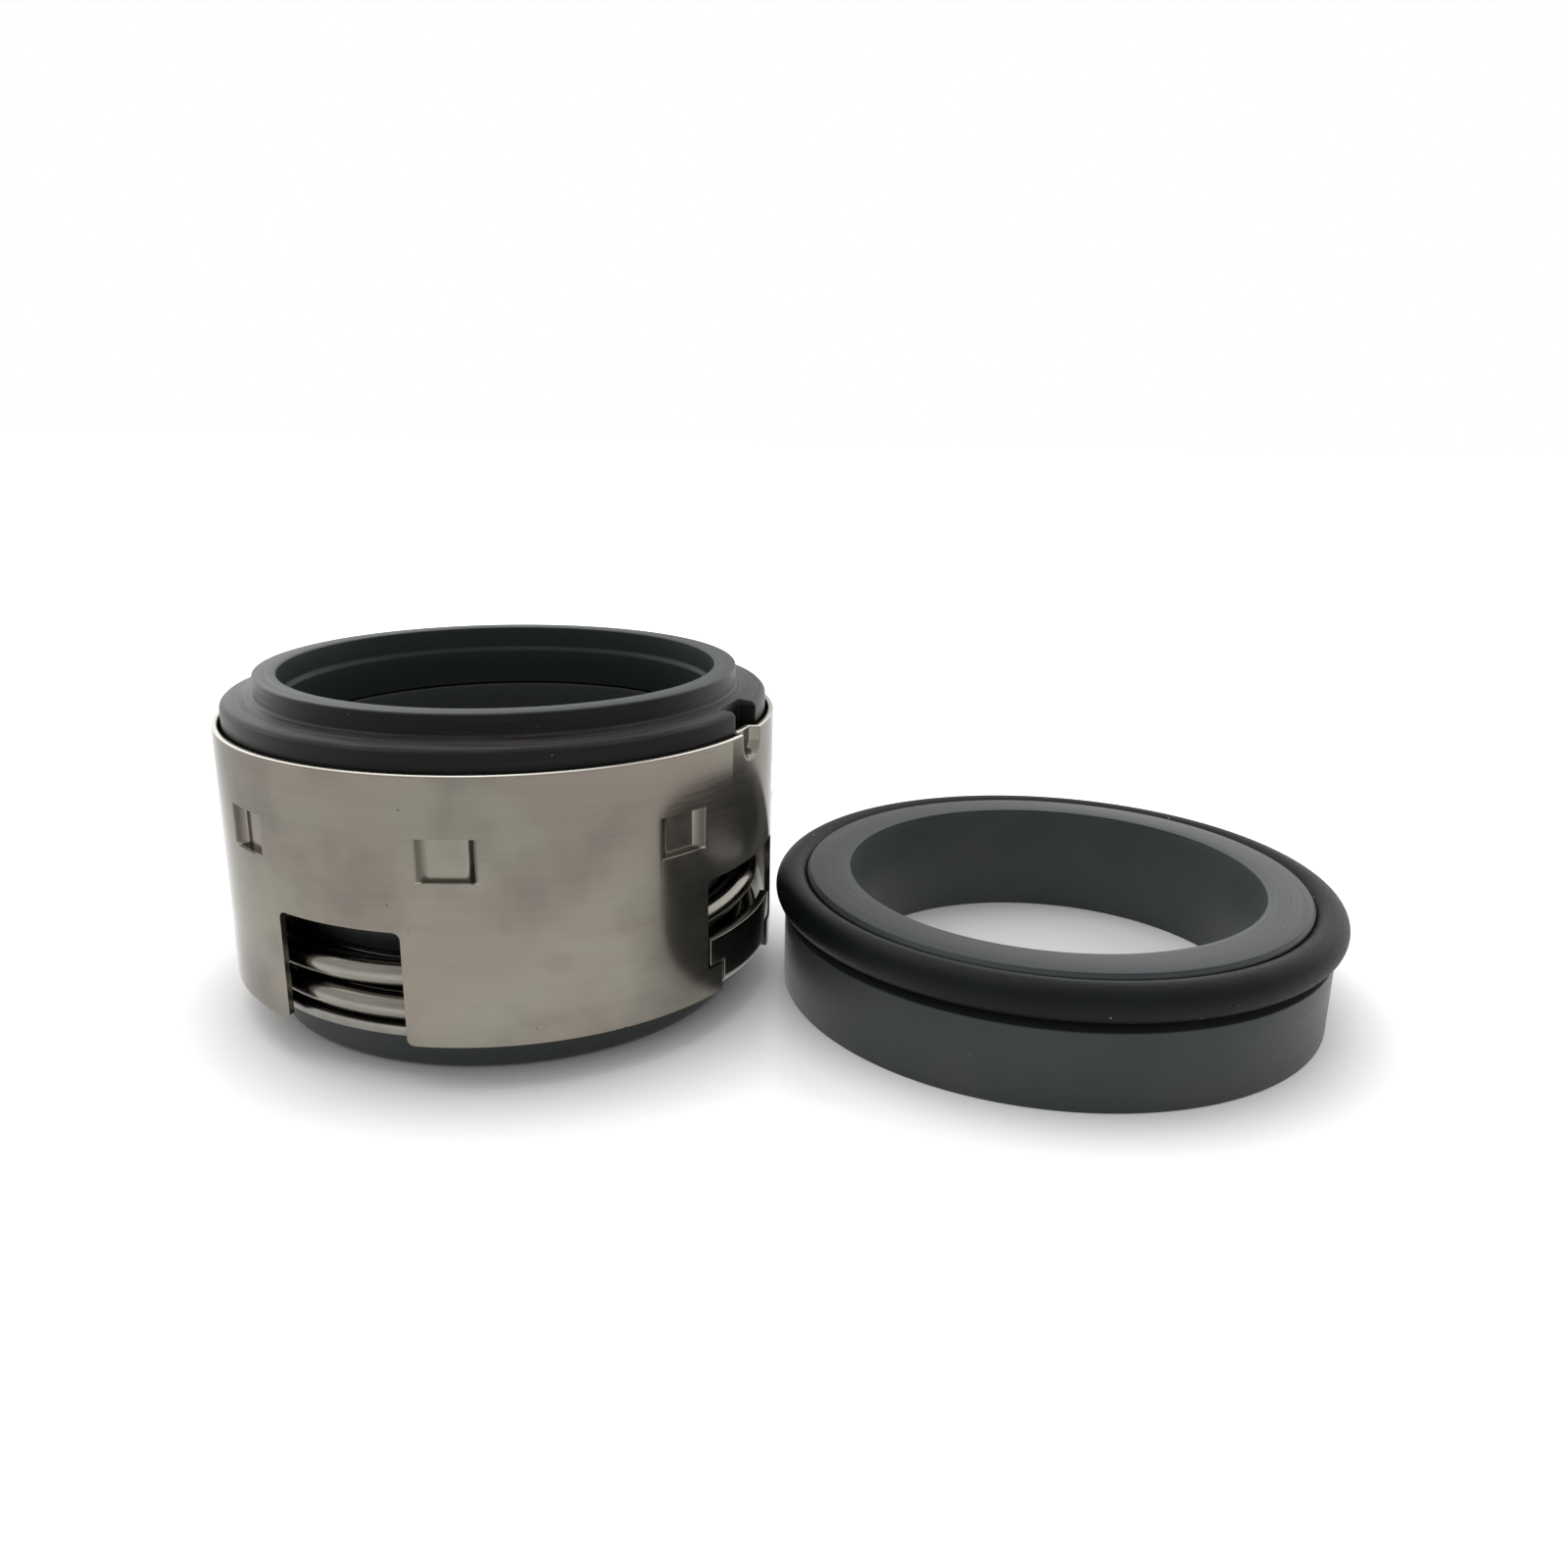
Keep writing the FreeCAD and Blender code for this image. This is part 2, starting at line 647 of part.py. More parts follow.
def coil_spring(document, size):
    turn = size["head_turn"] + size["spring_turn"]
    body = new_body(document, "coil_spring", turn=turn)
    wire = size["wire_diameter"] / 2
    middle = size["spring_middle"]
    start = size["spring_bottom"] + wire
    finish = size["spring_top"] - wire
    flat = size["spring_flat"]

    lower = place_sketch(body, "lower_wire", "XZ_Plane")
    draw_circle(lower, middle, start, wire)
    revolve(body, "lower_end", lower, flat, reverse=True)

    climb = place_sketch(body, "climbing_wire", "XZ_Plane")
    draw_circle(climb, middle, start, wire)
    coil = body.newObject("PartDesign::AdditiveHelix", "coil")
    coil.Profile = climb
    coil.ReferenceAxis = (climb, ["V_Axis"])
    coil.Mode = "height-turns-angle"
    coil.HasBeenEdited = True
    coil.setExpression("Height", (finish - start).formula)
    coil.setExpression("Turns", size["spring_turns"].formula)

    upper_turn = size["spring_turns"] * FULL_TURN
    upper = place_sketch(body, "upper_wire", "XZ_Plane", turn=upper_turn, turn_axis=(0, 1, 0))
    draw_circle(upper, middle, finish, wire)
    revolve(body, "upper_end", upper, flat)
    return body


def seat_ring(document, size):
    body = new_body(document, "seat_ring", shift=size["seat_distance"])
    bore = size["seat_bore"]
    outer = size["seat_outer"]
    spigot = size["spigot"]
    groove = size["groove"]
    groove_bottom = size["groove_bottom"]
    groove_top = groove_bottom + size["groove_height"]
    small = size["edge_break"]
    bevel = size["seat_bevel"]
    step = size["seat_step"]
    top = step + size["spigot_height"]
    profile = place_sketch(body, "seat_section", "XZ_Plane")
    draw_outline(profile, [
        (bore + small, 0),
        (outer - small, 0),
        (outer, small),
        (outer, step - small),
        (outer - small, step),
        (spigot, step),
        (spigot, groove_bottom),
        (groove, groove_bottom),
        (groove, groove_top),
        (spigot, groove_top),
        (spigot, top - bevel),
        (spigot - bevel, top),
        (bore + small, top),
        (bore, top - small),
        (bore, small),
    ])
    revolve(body, "seat_turned", profile)
    return body


def seat_o_ring(document, size):
    body = new_body(document, "seat_o_ring", shift=size["seat_distance"])
    section = place_sketch(body, "o_ring_section", "XZ_Plane")
    radius = size["o_ring_section"] / 2
    draw_circle(section, size["o_ring_middle"], size["groove_bottom"] + radius, radius)
    revolve(body, "o_ring", section)
    return body


def check_and_save(document, bodies):
    document.recompute()
    for item in document.Objects:
        if "Invalid" in item.State or "Error" in item.State:
            raise RuntimeError("%s did not build: %s" % (item.Label, item.State))
    for body in bodies:
        if body.Shape.isNull() or not body.Shape.isValid():
            raise RuntimeError("%s has no valid shape" % body.Label)
    os.makedirs("parts", exist_ok=True)
    for body in bodies:
        body.Shape.exportStep("parts/%s.step" % body.Label)
        print("%-14s solids %d  volume %9.1f" % (
            body.Label, len(body.Shape.Solids), body.Shape.Volume))


def main():
    document = FreeCAD.newDocument("mechanical_seal")
    size = fill_sheet(document)
    add_shared_places(size)
    makers = [
        retainer_shell,
        primary_ring,
        bellows,
        drive_ring,
        spring_disc,
        coil_spring,
        seat_ring,
        seat_o_ring,
    ]
    bodies = [maker(document, size) for maker in makers]
    check_and_save(document, bodies)


main()
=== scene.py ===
import bmesh
import bpy
import math
from mathutils import Matrix, Vector

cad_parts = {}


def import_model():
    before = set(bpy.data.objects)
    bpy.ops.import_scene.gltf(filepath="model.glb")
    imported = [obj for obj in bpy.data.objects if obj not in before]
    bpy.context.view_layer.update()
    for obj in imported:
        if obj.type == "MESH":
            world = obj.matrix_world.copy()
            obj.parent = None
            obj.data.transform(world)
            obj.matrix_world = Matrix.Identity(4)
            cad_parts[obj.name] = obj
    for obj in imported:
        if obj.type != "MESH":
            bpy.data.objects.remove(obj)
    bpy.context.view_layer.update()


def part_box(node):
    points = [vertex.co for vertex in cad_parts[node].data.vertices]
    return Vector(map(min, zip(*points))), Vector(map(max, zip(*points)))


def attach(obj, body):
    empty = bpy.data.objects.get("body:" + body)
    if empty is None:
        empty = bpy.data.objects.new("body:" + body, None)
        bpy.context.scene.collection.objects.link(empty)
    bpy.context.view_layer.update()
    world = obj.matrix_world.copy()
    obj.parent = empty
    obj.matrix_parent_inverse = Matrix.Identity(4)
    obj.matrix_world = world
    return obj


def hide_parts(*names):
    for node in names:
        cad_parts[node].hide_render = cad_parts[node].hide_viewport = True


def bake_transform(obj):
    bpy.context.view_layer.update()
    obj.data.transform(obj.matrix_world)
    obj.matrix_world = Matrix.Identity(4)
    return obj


# Rubber-bellows mechanical seal: a head with one coil spring inside a windowed steel shell, and the
# stationary seat ring with its O-ring, which stands beside it. Sizes are millimetres, and MM turns
# them into metres. Angles are degrees round the shaft's axis, from +X.

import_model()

MM = 0.001
AXIS_UP = (0, 0, 1)


# Sizes read from the CAD nodes

def limits(node):
    """The lowest and highest corner of a CAD node, in millimetres."""
    low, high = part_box(node)
    return low / MM, high / MM


shell_low, shell_high = limits("retainer_shell")
ring_low, ring_high = limits("primary_ring")
rubber_low, rubber_high = limits("bellows")
band_low, band_high = limits("drive_ring")
disc_low, disc_high = limits("spring_disc")
coil_low, coil_high = limits("coil_spring")
seat_low, seat_high = limits("seat_ring")
o_ring_low, o_ring_high = limits("seat_o_ring")

SEAT_X = (seat_low.x + seat_high.x) / 2

# How far the head is turned round its shaft, as it stands in the photograph
HEAD_TURN = -19.4

# Sizes of the head's pieces that no box gives, the same as in the CAD model

SHELL_RADIUS = shell_high.x
SHELL_WALL = 0.8
SHELL_INSIDE = SHELL_RADIUS - SHELL_WALL
SHELL_BOTTOM = shell_low.z
SHELL_TOP = shell_high.z
RIM_ROUND = 0.3

OPEN_WINDOW_WIDTH = 17.0
OPEN_WINDOW_TOP = 19.6
KEY_WINDOW_WIDTH = 20.6
KEY_WINDOW_TOP = 21.2
FOOT_SPACE = 15.1
FOOT_TOP = 9.2
FOOT_ROUND = 0.3
WINDOW_ROUND = 0.9

DIMPLES = 8
DIMPLE_BOTTOM = 25.7
DIMPLE_TOP = 30.9
DIMPLE_WIDTH = 7.2
DIMPLE_FLOOR = 4.2
DIMPLE_DEPTH = 1.1

DENT_FLOOR = 3.9
DENT_MOUTH = 5.3
DENT_BOTTOM = 35.4
DENT_DEPTH = 1.3
DENT_CORNER = 1.2

NOTCH_WIDTH = 6.6
NOTCH_DEPTH = 2.5
RING_LAG = 1.2
NOSE_RADIUS = 31.4

SHEET = 1.2
BEND_ROUND = 0.4
KEY_PLAY = 0.75
KEY_FLUSH = 0.15
KEY_HEAD_BOTTOM = 9.5
KEY_TOP = 13.0
WIRE = 3.4
SPRING_TURNS = 1.6
SPRING_FLAT = 210.0
SPRING_START = 100.0

FOLD_BOTTOM = 14.5
FOLD_TOP = 21.1


# Modelling helpers

MERGE_DISTANCE = 0.001


def deselect():
    bpy.ops.object.select_all(action="DESELECT")


def activate(piece):
    deselect()
    piece.select_set(True)
    bpy.context.view_layer.objects.active = piece


def take_new(name):
    """Name the primitive that was just added."""
    piece = bpy.context.object
    piece.name = name
    piece.data.name = name
    return piece


def settle(piece):
    """Put the place, turn and scale of a piece into its mesh."""
    activate(piece)
    bpy.ops.object.transform_apply(location=True, rotation=True, scale=True)


def apply_modifier(piece, modifier):
    activate(piece)
    bpy.ops.object.modifier_apply(modifier=modifier.name)


def close_mesh(piece):
    """Merge doubled points and make every face point outwards."""
    activate(piece)
    bpy.ops.object.mode_set(mode="EDIT")
    bpy.ops.mesh.select_all(action="SELECT")
    bpy.ops.mesh.remove_doubles(threshold=MERGE_DISTANCE * MM)
    bpy.ops.mesh.normals_make_consistent(inside=False)
    bpy.ops.object.mode_set(mode="OBJECT")


def turn_piece(name, section, steps=288, middle=0.0, start=0.0, closed=True):
    """A turned or spun piece: a circle that is extruded from one point of its section to the next."""
    deselect()
    radius, height = section[0]
    place = Vector((middle, 0, height)) * MM
    bpy.ops.mesh.primitive_circle_add(vertices=steps, radius=radius * MM, location=place)
    piece = take_new(name)
    bpy.ops.object.mode_set(mode="EDIT")
    bpy.ops.mesh.select_all(action="SELECT")
    points = section[1:] + section[:1] if closed else section[1:]
    for next_radius, next_height in points:
        rise = (0, 0, (next_height - height) * MM)
        bpy.ops.mesh.extrude_region_move(TRANSFORM_OT_translate={"value": rise})
        grow = next_radius / radius
        centre = Vector((middle, 0, next_height)) * MM
        bpy.ops.transform.resize(value=(grow, grow, 1), center_override=centre)
        radius = next_radius
        height = next_height
    bpy.ops.object.mode_set(mode="OBJECT")
    settle(piece)
    if start:
        piece.data.transform(Matrix.Rotation(math.radians(start), 4, "Z"))
    close_mesh(piece)
    return piece


def arc(centre, radius, first, last, steps=6):
    """Points of a section along an arc, angles in degrees."""
    points = []
    for step in range(steps + 1):
        angle = math.radians(first + (last - first) * step / steps)
        points.append((centre[0] + radius * math.cos(angle), centre[1] + radius * math.sin(angle)))
    return points


def rounded_outline(corners, steps=6):
    """Corners (across, up, radius) of an outline that runs anticlockwise, as points with round corners."""
    points = []
    count = len(corners)
    for index, (across, up, radius) in enumerate(corners):
        corner = Vector((across, up))
        if not radius:
            points.append(corner)
            continue
        before = (Vector(corners[index - 1][:2]) - corner).normalized()
        after = (Vector(corners[(index + 1) % count][:2]) - corner).normalized()
        reach = radius / math.tan(before.angle(after) / 2)
        start = corner + before * reach
        end = corner + after * reach
        middle = corner + (before + after).normalized() * radius / math.sin(before.angle(after) / 2)
        first = start - middle
        turn = first.angle_signed(end - middle)
        for step in range(steps + 1):
            points.append(middle + Matrix.Rotation(-turn * step / steps, 2) @ first)
    return points


def window_punch(name, corners, azimuth, reach):
    """A solid that cuts one window and the one opposite, straight through along its azimuth."""
    outline = rounded_outline(corners)
    deselect()
    bpy.ops.mesh.primitive_circle_add(vertices=len(outline), radius=MM, fill_type="NGON")
    punch = take_new(name)
    for vertex, point in zip(punch.data.vertices, outline):
        vertex.co = Vector((-reach, point.x, point.y)) * MM
    bpy.ops.object.mode_set(mode="EDIT")
    bpy.ops.mesh.select_all(action="SELECT")
    bpy.ops.mesh.extrude_region_move(TRANSFORM_OT_translate={"value": (2 * reach * MM, 0, 0)})
    bpy.ops.object.mode_set(mode="OBJECT")
    punch.data.transform(Matrix.Rotation(math.radians(azimuth), 4, "Z"))
    close_mesh(punch)
    return punch


def cut_with(piece, punch):
    """Cut the punch out of a piece and throw the punch away."""
    cut = piece.modifiers.new("cut", "BOOLEAN")
    cut.operation = "DIFFERENCE"
    cut.solver = "EXACT"
    cut.object = punch
    apply_modifier(piece, cut)
    bpy.data.objects.remove(punch)


def soften_edges(piece, width, segments=2, above=35.0):
    """Break the sharp edges of a piece, as tumbling or moulding does, and shade it smooth."""
    bevel = piece.modifiers.new("edges", "BEVEL")
    bevel.width = width * MM
    bevel.segments = segments
    bevel.limit_method = "ANGLE"
    bevel.angle_limit = math.radians(above)
    bevel.use_clamp_overlap = True
    apply_modifier(piece, bevel)
    activate(piece)
    bpy.ops.object.shade_smooth_by_angle(angle=math.radians(above))


def thicken(piece, wall):
    """Give a sheet its wall, on the side that its faces point away from."""
    solid = piece.modifiers.new("wall", "SOLIDIFY")
    solid.thickness = wall * MM
    solid.offset = -1
    solid.use_even_offset = True
    solid.use_quality_normals = True
    apply_modifier(piece, solid)


def angle_from(point, azimuth):
    """Angle of a point round the shaft, measured from an azimuth, in degrees."""
    angle = math.degrees(math.atan2(point.y, point.x)) - azimuth
    return (angle + 180) % 360 - 180


def nearest_offset(point, azimuths):
    """How far round the shaft a point is from the nearest azimuth, in millimetres on the shell."""
    angle = min((angle_from(point, azimuth) for azimuth in azimuths), key=abs)
    return math.radians(angle) * SHELL_RADIUS


def ease(share):
    """A share that starts and ends softly, held at 0 and 1."""
    share = min(1.0, max(0.0, share))
    return share * share * (3 - 2 * share)


def press_in(vertex, depth):
    """Move a point of the shell towards the shaft, by a depth in millimetres."""
    flat = Vector((vertex.co.x, vertex.co.y, 0))
    vertex.co -= flat.normalized() * depth * MM


# Retainer shell

DIMPLE_PLACES = [HEAD_TURN + (index + 0.5) * 360 / DIMPLES for index in range(DIMPLES)]
DENT_PLACES = [HEAD_TURN, HEAD_TURN + 180]
DENT_ROWS = 14
SHELL_STEPS = 1080
SHELL_COLUMN = 2 * math.pi * SHELL_RADIUS / SHELL_STEPS
# The wall on a pressed form's sides is drawn out to half of the sheet
DRAWN_WALL = SHELL_WALL / 2


def near_dent(point, reach):
    return abs(nearest_offset(point, DENT_PLACES)) < reach


def wall_share(vertex):
    """0 on the shell's outer face and the drawn wall's width on its inner face."""
    radius = math.hypot(vertex.co.x, vertex.co.y) / MM
    return 0.0 if radius > SHELL_RADIUS - SHELL_WALL / 2 else DRAWN_WALL


def press_dimples(mesh):
    """Each dimple is pressed in between two sheared edges and runs out softly at its sides."""
    middle = (DIMPLE_BOTTOM + DIMPLE_TOP) / 2
    reach = DIMPLE_WIDTH / 2 + DRAWN_WALL + SHELL_COLUMN / 2
    for face in mesh.faces:
        centre = face.calc_center_median()
        in_row = abs(centre.z / MM - middle) < DRAWN_WALL
        face.select_set(in_row and abs(nearest_offset(centre, DIMPLE_PLACES)) < reach)
    bpy.ops.mesh.extrude_region_move()
    flank = (DIMPLE_WIDTH - DIMPLE_FLOOR) / 2
    for vertex in mesh.verts:
        if vertex.select:
            offset = abs(nearest_offset(vertex.co, DIMPLE_PLACES)) - wall_share(vertex)
            press_in(vertex, DIMPLE_DEPTH * ease((DIMPLE_WIDTH / 2 - offset) / flank))


def press_dents(mesh):
    """A drive dent is a soft U that is open at the rim, so the wall gets rows for it near the rim."""
    flank = (DENT_MOUTH - DENT_FLOOR) / 2
    lowest = DENT_BOTTOM - flank - DRAWN_WALL
    above_dimples = (DIMPLE_TOP + 1) * MM
    for row in range(DENT_ROWS):
        level = lowest + (SHELL_TOP - lowest) * row / DENT_ROWS
        for face in mesh.faces:
            centre = face.calc_center_median()
            face.select_set(centre.z > above_dimples and near_dent(centre, DENT_MOUTH))
        bpy.ops.mesh.bisect(plane_co=(0, 0, level * MM), plane_no=AXIS_UP)
    for vertex in mesh.verts:
        if vertex.co.z < above_dimples or not near_dent(vertex.co, DENT_MOUTH):
            continue
        across = abs(nearest_offset(vertex.co, DENT_PLACES)) - (DENT_FLOOR / 2 - DENT_CORNER)
        below = DENT_BOTTOM + DENT_CORNER - vertex.co.z / MM
        if across > 0 and below > 0:
            outside = math.hypot(across, below) - DENT_CORNER
        else:
            outside = max(across, below) - DENT_CORNER
        press_in(vertex, DENT_DEPTH * ease(1 - (outside - wall_share(vertex)) / flank))


def round_rim(shell):
    """Round both edges of the rolled rim."""
    rim_height = (SHELL_TOP - 0.01) * MM
    sharp = math.radians(57)
    activate(shell)
    bpy.ops.object.mode_set(mode="EDIT")
    bpy.ops.mesh.select_mode(type="EDGE")
    bpy.ops.mesh.select_all(action="DESELECT")
    mesh = bmesh.from_edit_mesh(shell.data)
    for edge in mesh.edges:
        at_rim = all(vertex.co.z > rim_height for vertex in edge.verts)
        edge.select_set(at_rim and edge.is_manifold and edge.calc_face_angle() > sharp)
    bpy.ops.mesh.bevel(offset=RIM_ROUND * MM, segments=4, affect="EDGES")
    bpy.ops.mesh.select_mode(type="VERT")
    bpy.ops.object.mode_set(mode="OBJECT")


def retainer_shell():
    outside = [SHELL_BOTTOM, DIMPLE_BOTTOM, DIMPLE_TOP, SHELL_TOP]
    inside = [SHELL_TOP, DIMPLE_TOP + DRAWN_WALL, DIMPLE_BOTTOM - DRAWN_WALL, SHELL_BOTTOM]
    wall = [(SHELL_RADIUS, row) for row in outside] + [(SHELL_INSIDE, row) for row in inside]
    shell = turn_piece("shell", wall, steps=SHELL_STEPS, start=HEAD_TURN)
    activate(shell)
    bpy.ops.object.mode_set(mode="EDIT")
    bpy.ops.mesh.select_mode(type="FACE")
    mesh = bmesh.from_edit_mesh(shell.data)
    press_dimples(mesh)
    mesh = bmesh.from_edit_mesh(shell.data)
    press_dents(mesh)
    bmesh.update_edit_mesh(shell.data)
    bpy.ops.mesh.select_mode(type="VERT")
    bpy.ops.object.mode_set(mode="OBJECT")
    close_mesh(shell)

    half = OPEN_WINDOW_WIDTH / 2
    flare = half + 4 * WINDOW_ROUND
    below = SHELL_BOTTOM - 5 * SHELL_WALL
    open_corners = [
        (-flare, below, 0), (flare, below, 0), (flare, SHELL_BOTTOM, 0),
        (half, SHELL_BOTTOM, WINDOW_ROUND), (half, OPEN_WINDOW_TOP, WINDOW_ROUND),
        (-half, OPEN_WINDOW_TOP, WINDOW_ROUND), (-half, SHELL_BOTTOM, WINDOW_ROUND),
        (-flare, SHELL_BOTTOM, 0),
    ]
    cut_with(shell, window_punch("open_punch", open_corners, HEAD_TURN - 90, 2 * SHELL_RADIUS))

    half = KEY_WINDOW_WIDTH / 2
    neck = FOOT_SPACE / 2
    key_corners = [
        (-neck, below, 0), (neck, below, 0), (neck, FOOT_TOP, FOOT_ROUND), (half, FOOT_TOP, 0),
        (half, KEY_WINDOW_TOP, WINDOW_ROUND), (-half, KEY_WINDOW_TOP, WINDOW_ROUND),
        (-half, FOOT_TOP, 0), (-neck, FOOT_TOP, FOOT_ROUND),
    ]
    cut_with(shell, window_punch("key_punch", key_corners, HEAD_TURN, 2 * SHELL_RADIUS))
    round_rim(shell)
    soften_edges(shell, 0.1, above=50.0)
    return shell


# Primary ring

def primary_ring():
    bore = 28.0
    nose_bore = 28.5
    nose = NOSE_RADIUS
    fillet = 0.4
    shoulder = ring_high.x
    bevel = 0.5
    edge = 40.4
    nose_base = 41.2
    relief = 40.9
    punch_length = 10
    punch_height = 16
    section = [
        (bore, ring_low.z), (shoulder, ring_low.z), (shoulder, edge), (shoulder - bevel, edge + bevel),
    ]
    section += arc((nose + fillet, nose_base + fillet), fillet, 270, 180, steps=2)
    section += [
        (nose, ring_high.z), (nose_bore, ring_high.z),
        (nose_bore, relief), (bore, relief - (nose_bore - bore)),
    ]
    ring = turn_piece("face_ring", section, start=HEAD_TURN)
    for azimuth in (HEAD_TURN + RING_LAG, HEAD_TURN + RING_LAG + 180):
        middle = Vector((shoulder - NOTCH_DEPTH + punch_length / 2, 0, ring_low.z + punch_height / 4))
        turn = math.radians(azimuth)
        deselect()
        bpy.ops.mesh.primitive_cube_add(
            size=MM, location=Matrix.Rotation(turn, 3, "Z") @ middle * MM, rotation=(0, 0, turn),
            scale=(punch_length, NOTCH_WIDTH, punch_height))
        punch = take_new("notch_punch")
        settle(punch)
        cut_with(ring, punch)
    soften_edges(ring, 0.18, segments=3)
    return ring


# Bellows

def bellows():
    shaft = 27.5
    relief = 28.0
    grip = 13.5
    bulge = 1.25
    neck = 29.65
    tail = 29.65
    foot = 31.4
    foot_round = 0.8
    foot_top = 5.65
    collar_top = 26.0
    head_bottom = 31.2
    inner_head = 34.3
    outer_head = SHELL_INSIDE - 0.3
    # The head's upper edge steps in, clear of the backs of the drive dents
    step_radius = SHELL_INSIDE - 1.6
    head_top = rubber_high.z
    step_top = head_top - 0.4
    section = [(shaft, 0), (foot - foot_round, 0)]
    section += arc((foot - foot_round, foot_round), foot_round, -90, 0)
    section += [(foot, foot_top), (tail, foot_top), (tail, FOLD_BOTTOM)]
    rows = 10
    outer_fold = []
    inner_fold = []
    for row in range(1, rows):
        share = row / rows
        height = FOLD_BOTTOM + (FOLD_TOP - FOLD_BOTTOM) * share
        swell = bulge * math.sin(math.pi * share)
        outer_fold.append((tail + swell, height))
        inner_fold.append((relief + swell, height))
    section += outer_fold
    section += [(neck, FOLD_TOP), (neck, collar_top), (inner_head, collar_top)]
    section += [(inner_head, head_bottom), (outer_head, head_bottom), (outer_head, step_top)]
    section += [(step_radius, step_top), (step_radius, head_top)]
    section += [(relief, head_top), (relief, head_bottom), (relief, collar_top), (relief, FOLD_TOP)]
    section += inner_fold[::-1]
    section += [(relief, FOLD_BOTTOM), (shaft, grip)]
    rubber = turn_piece("bellows_moulding", section)
    soften_edges(rubber, 0.2, segments=3, above=40.0)
    return rubber


# Drive ring: a band, its flange and two keys, all pressed from one sheet

def drive_ring():
    bottom = band_low.z
    band = 29.7
    flange = 34.6
    outer_bend = BEND_ROUND + SHEET
    key_face = SHELL_RADIUS - KEY_FLUSH
    neck_angle = math.degrees(math.asin((FOOT_SPACE / 2 - KEY_PLAY) / key_face))
    head_angle = math.degrees(math.asin((KEY_WINDOW_WIDTH / 2 - KEY_PLAY) / key_face))
    section = [(band, band_high.z), (band, bottom + outer_bend)]
    section += arc((band + outer_bend, bottom + outer_bend), outer_bend, 180, 270)
    section += [(flange, bottom), (key_face - outer_bend, bottom)]
    section += arc((key_face - outer_bend, bottom + outer_bend), outer_bend, -90, 0)
    section += [(key_face, KEY_HEAD_BOTTOM), (key_face, KEY_TOP)]
    ring = turn_piece("key_band", section, steps=SHELL_STEPS, start=HEAD_TURN, closed=False)
    activate(ring)
    bpy.ops.object.mode_set(mode="EDIT")
    bpy.ops.mesh.select_mode(type="FACE")
    mesh = bmesh.from_edit_mesh(ring.data)
    upward = 0.0
    for face in mesh.faces:
        centre = face.calc_center_median()
        radius = math.hypot(centre.x, centre.y) / MM
        turn = min(abs(angle_from(centre, place)) for place in DENT_PLACES)
        allowed = head_angle if centre.z > KEY_HEAD_BOTTOM * MM else neck_angle
        face.select_set(radius > flange and turn > allowed)
        if band + outer_bend < radius < flange:
            upward += face.normal.z
    bpy.ops.mesh.delete(type="FACE")
    bpy.ops.mesh.select_all(action="SELECT")
    if upward > 0:
        bpy.ops.mesh.flip_normals()
    bpy.ops.mesh.select_mode(type="VERT")
    bpy.ops.object.mode_set(mode="OBJECT")
    thicken(ring, SHEET)
    soften_edges(ring, 0.12, segments=3, above=50.0)
    return ring


# Spring disc

def spring_disc():
    inner = 29.95
    collar = inner + SHEET
    under = disc_high.z - SHEET
    section = [(inner, disc_low.z), (collar, disc_low.z), (collar, under), (disc_high.x, under)]
    section += [(disc_high.x, disc_high.z), (inner + BEND_ROUND, disc_high.z)]
    section += [(inner, disc_high.z - BEND_ROUND)]
    disc = turn_piece("disc", section)
    soften_edges(disc, 0.12)
    return disc


# Coil spring

def coil_spring():
    """A right-hand coil with a flat stretch at each end."""
    middle = coil_high.x - WIRE / 2
    start = coil_low.z + WIRE / 2
    finish = coil_high.z - WIRE / 2
    climb = SPRING_TURNS * 360
    step = 5.0
    # The drawn wire is a hair thinner than the real one, so that its facets stay inside the true size
    hair = 0.01
    first = HEAD_TURN + SPRING_START
    count = int((climb + 2 * SPRING_FLAT) / step) + 1
    deselect()
    bpy.ops.curve.primitive_nurbs_path_add()
    wire = bpy.context.object
    wire.name = "spring_wire"
    spline = wire.data.splines[0]
    spline.points.add(count - len(spline.points))
    for index, point in enumerate(spline.points):
        turned = index * step - SPRING_FLAT
        share = min(1.0, max(0.0, turned / climb))
        angle = math.radians(first + turned)
        height = start + (finish - start) * share
        point.co = (middle * math.cos(angle) * MM, middle * math.sin(angle) * MM, height * MM, 1)
    spline.order_u = 4
    spline.use_endpoint_u = True
    wire.data.resolution_u = 2
    wire.data.bevel_depth = (WIRE / 2 - hair) * MM
    wire.data.bevel_resolution = 8
    wire.data.use_fill_caps = True
    activate(wire)
    bpy.ops.object.convert(target="MESH")
    wire = bpy.context.object
    settle(wire)
    close_mesh(wire)
    activate(wire)
    bpy.ops.object.shade_smooth_by_angle(angle=math.radians(50))
    return wire


# Seat ring and its O-ring

def seat_ring():
    bore = 28.2
    outer = (seat_high.x - seat_low.x) / 2
    spigot = 34.25
    groove = 33.6
    step = 10.2
    groove_bottom = 11.2
    groove_top = 15.2
    bevel = 0.5
    top = seat_high.z
    section = [
        (bore, 0), (outer, 0), (outer, step), (spigot, step), (spigot, groove_bottom),
        (groove, groove_bottom), (groove, groove_top), (spigot, groove_top),
        (spigot, top - bevel), (spigot - bevel, top), (bore, top),
    ]
    seat = turn_piece("seat", section, middle=SEAT_X)
    soften_edges(seat, 0.15, segments=3)
    return seat


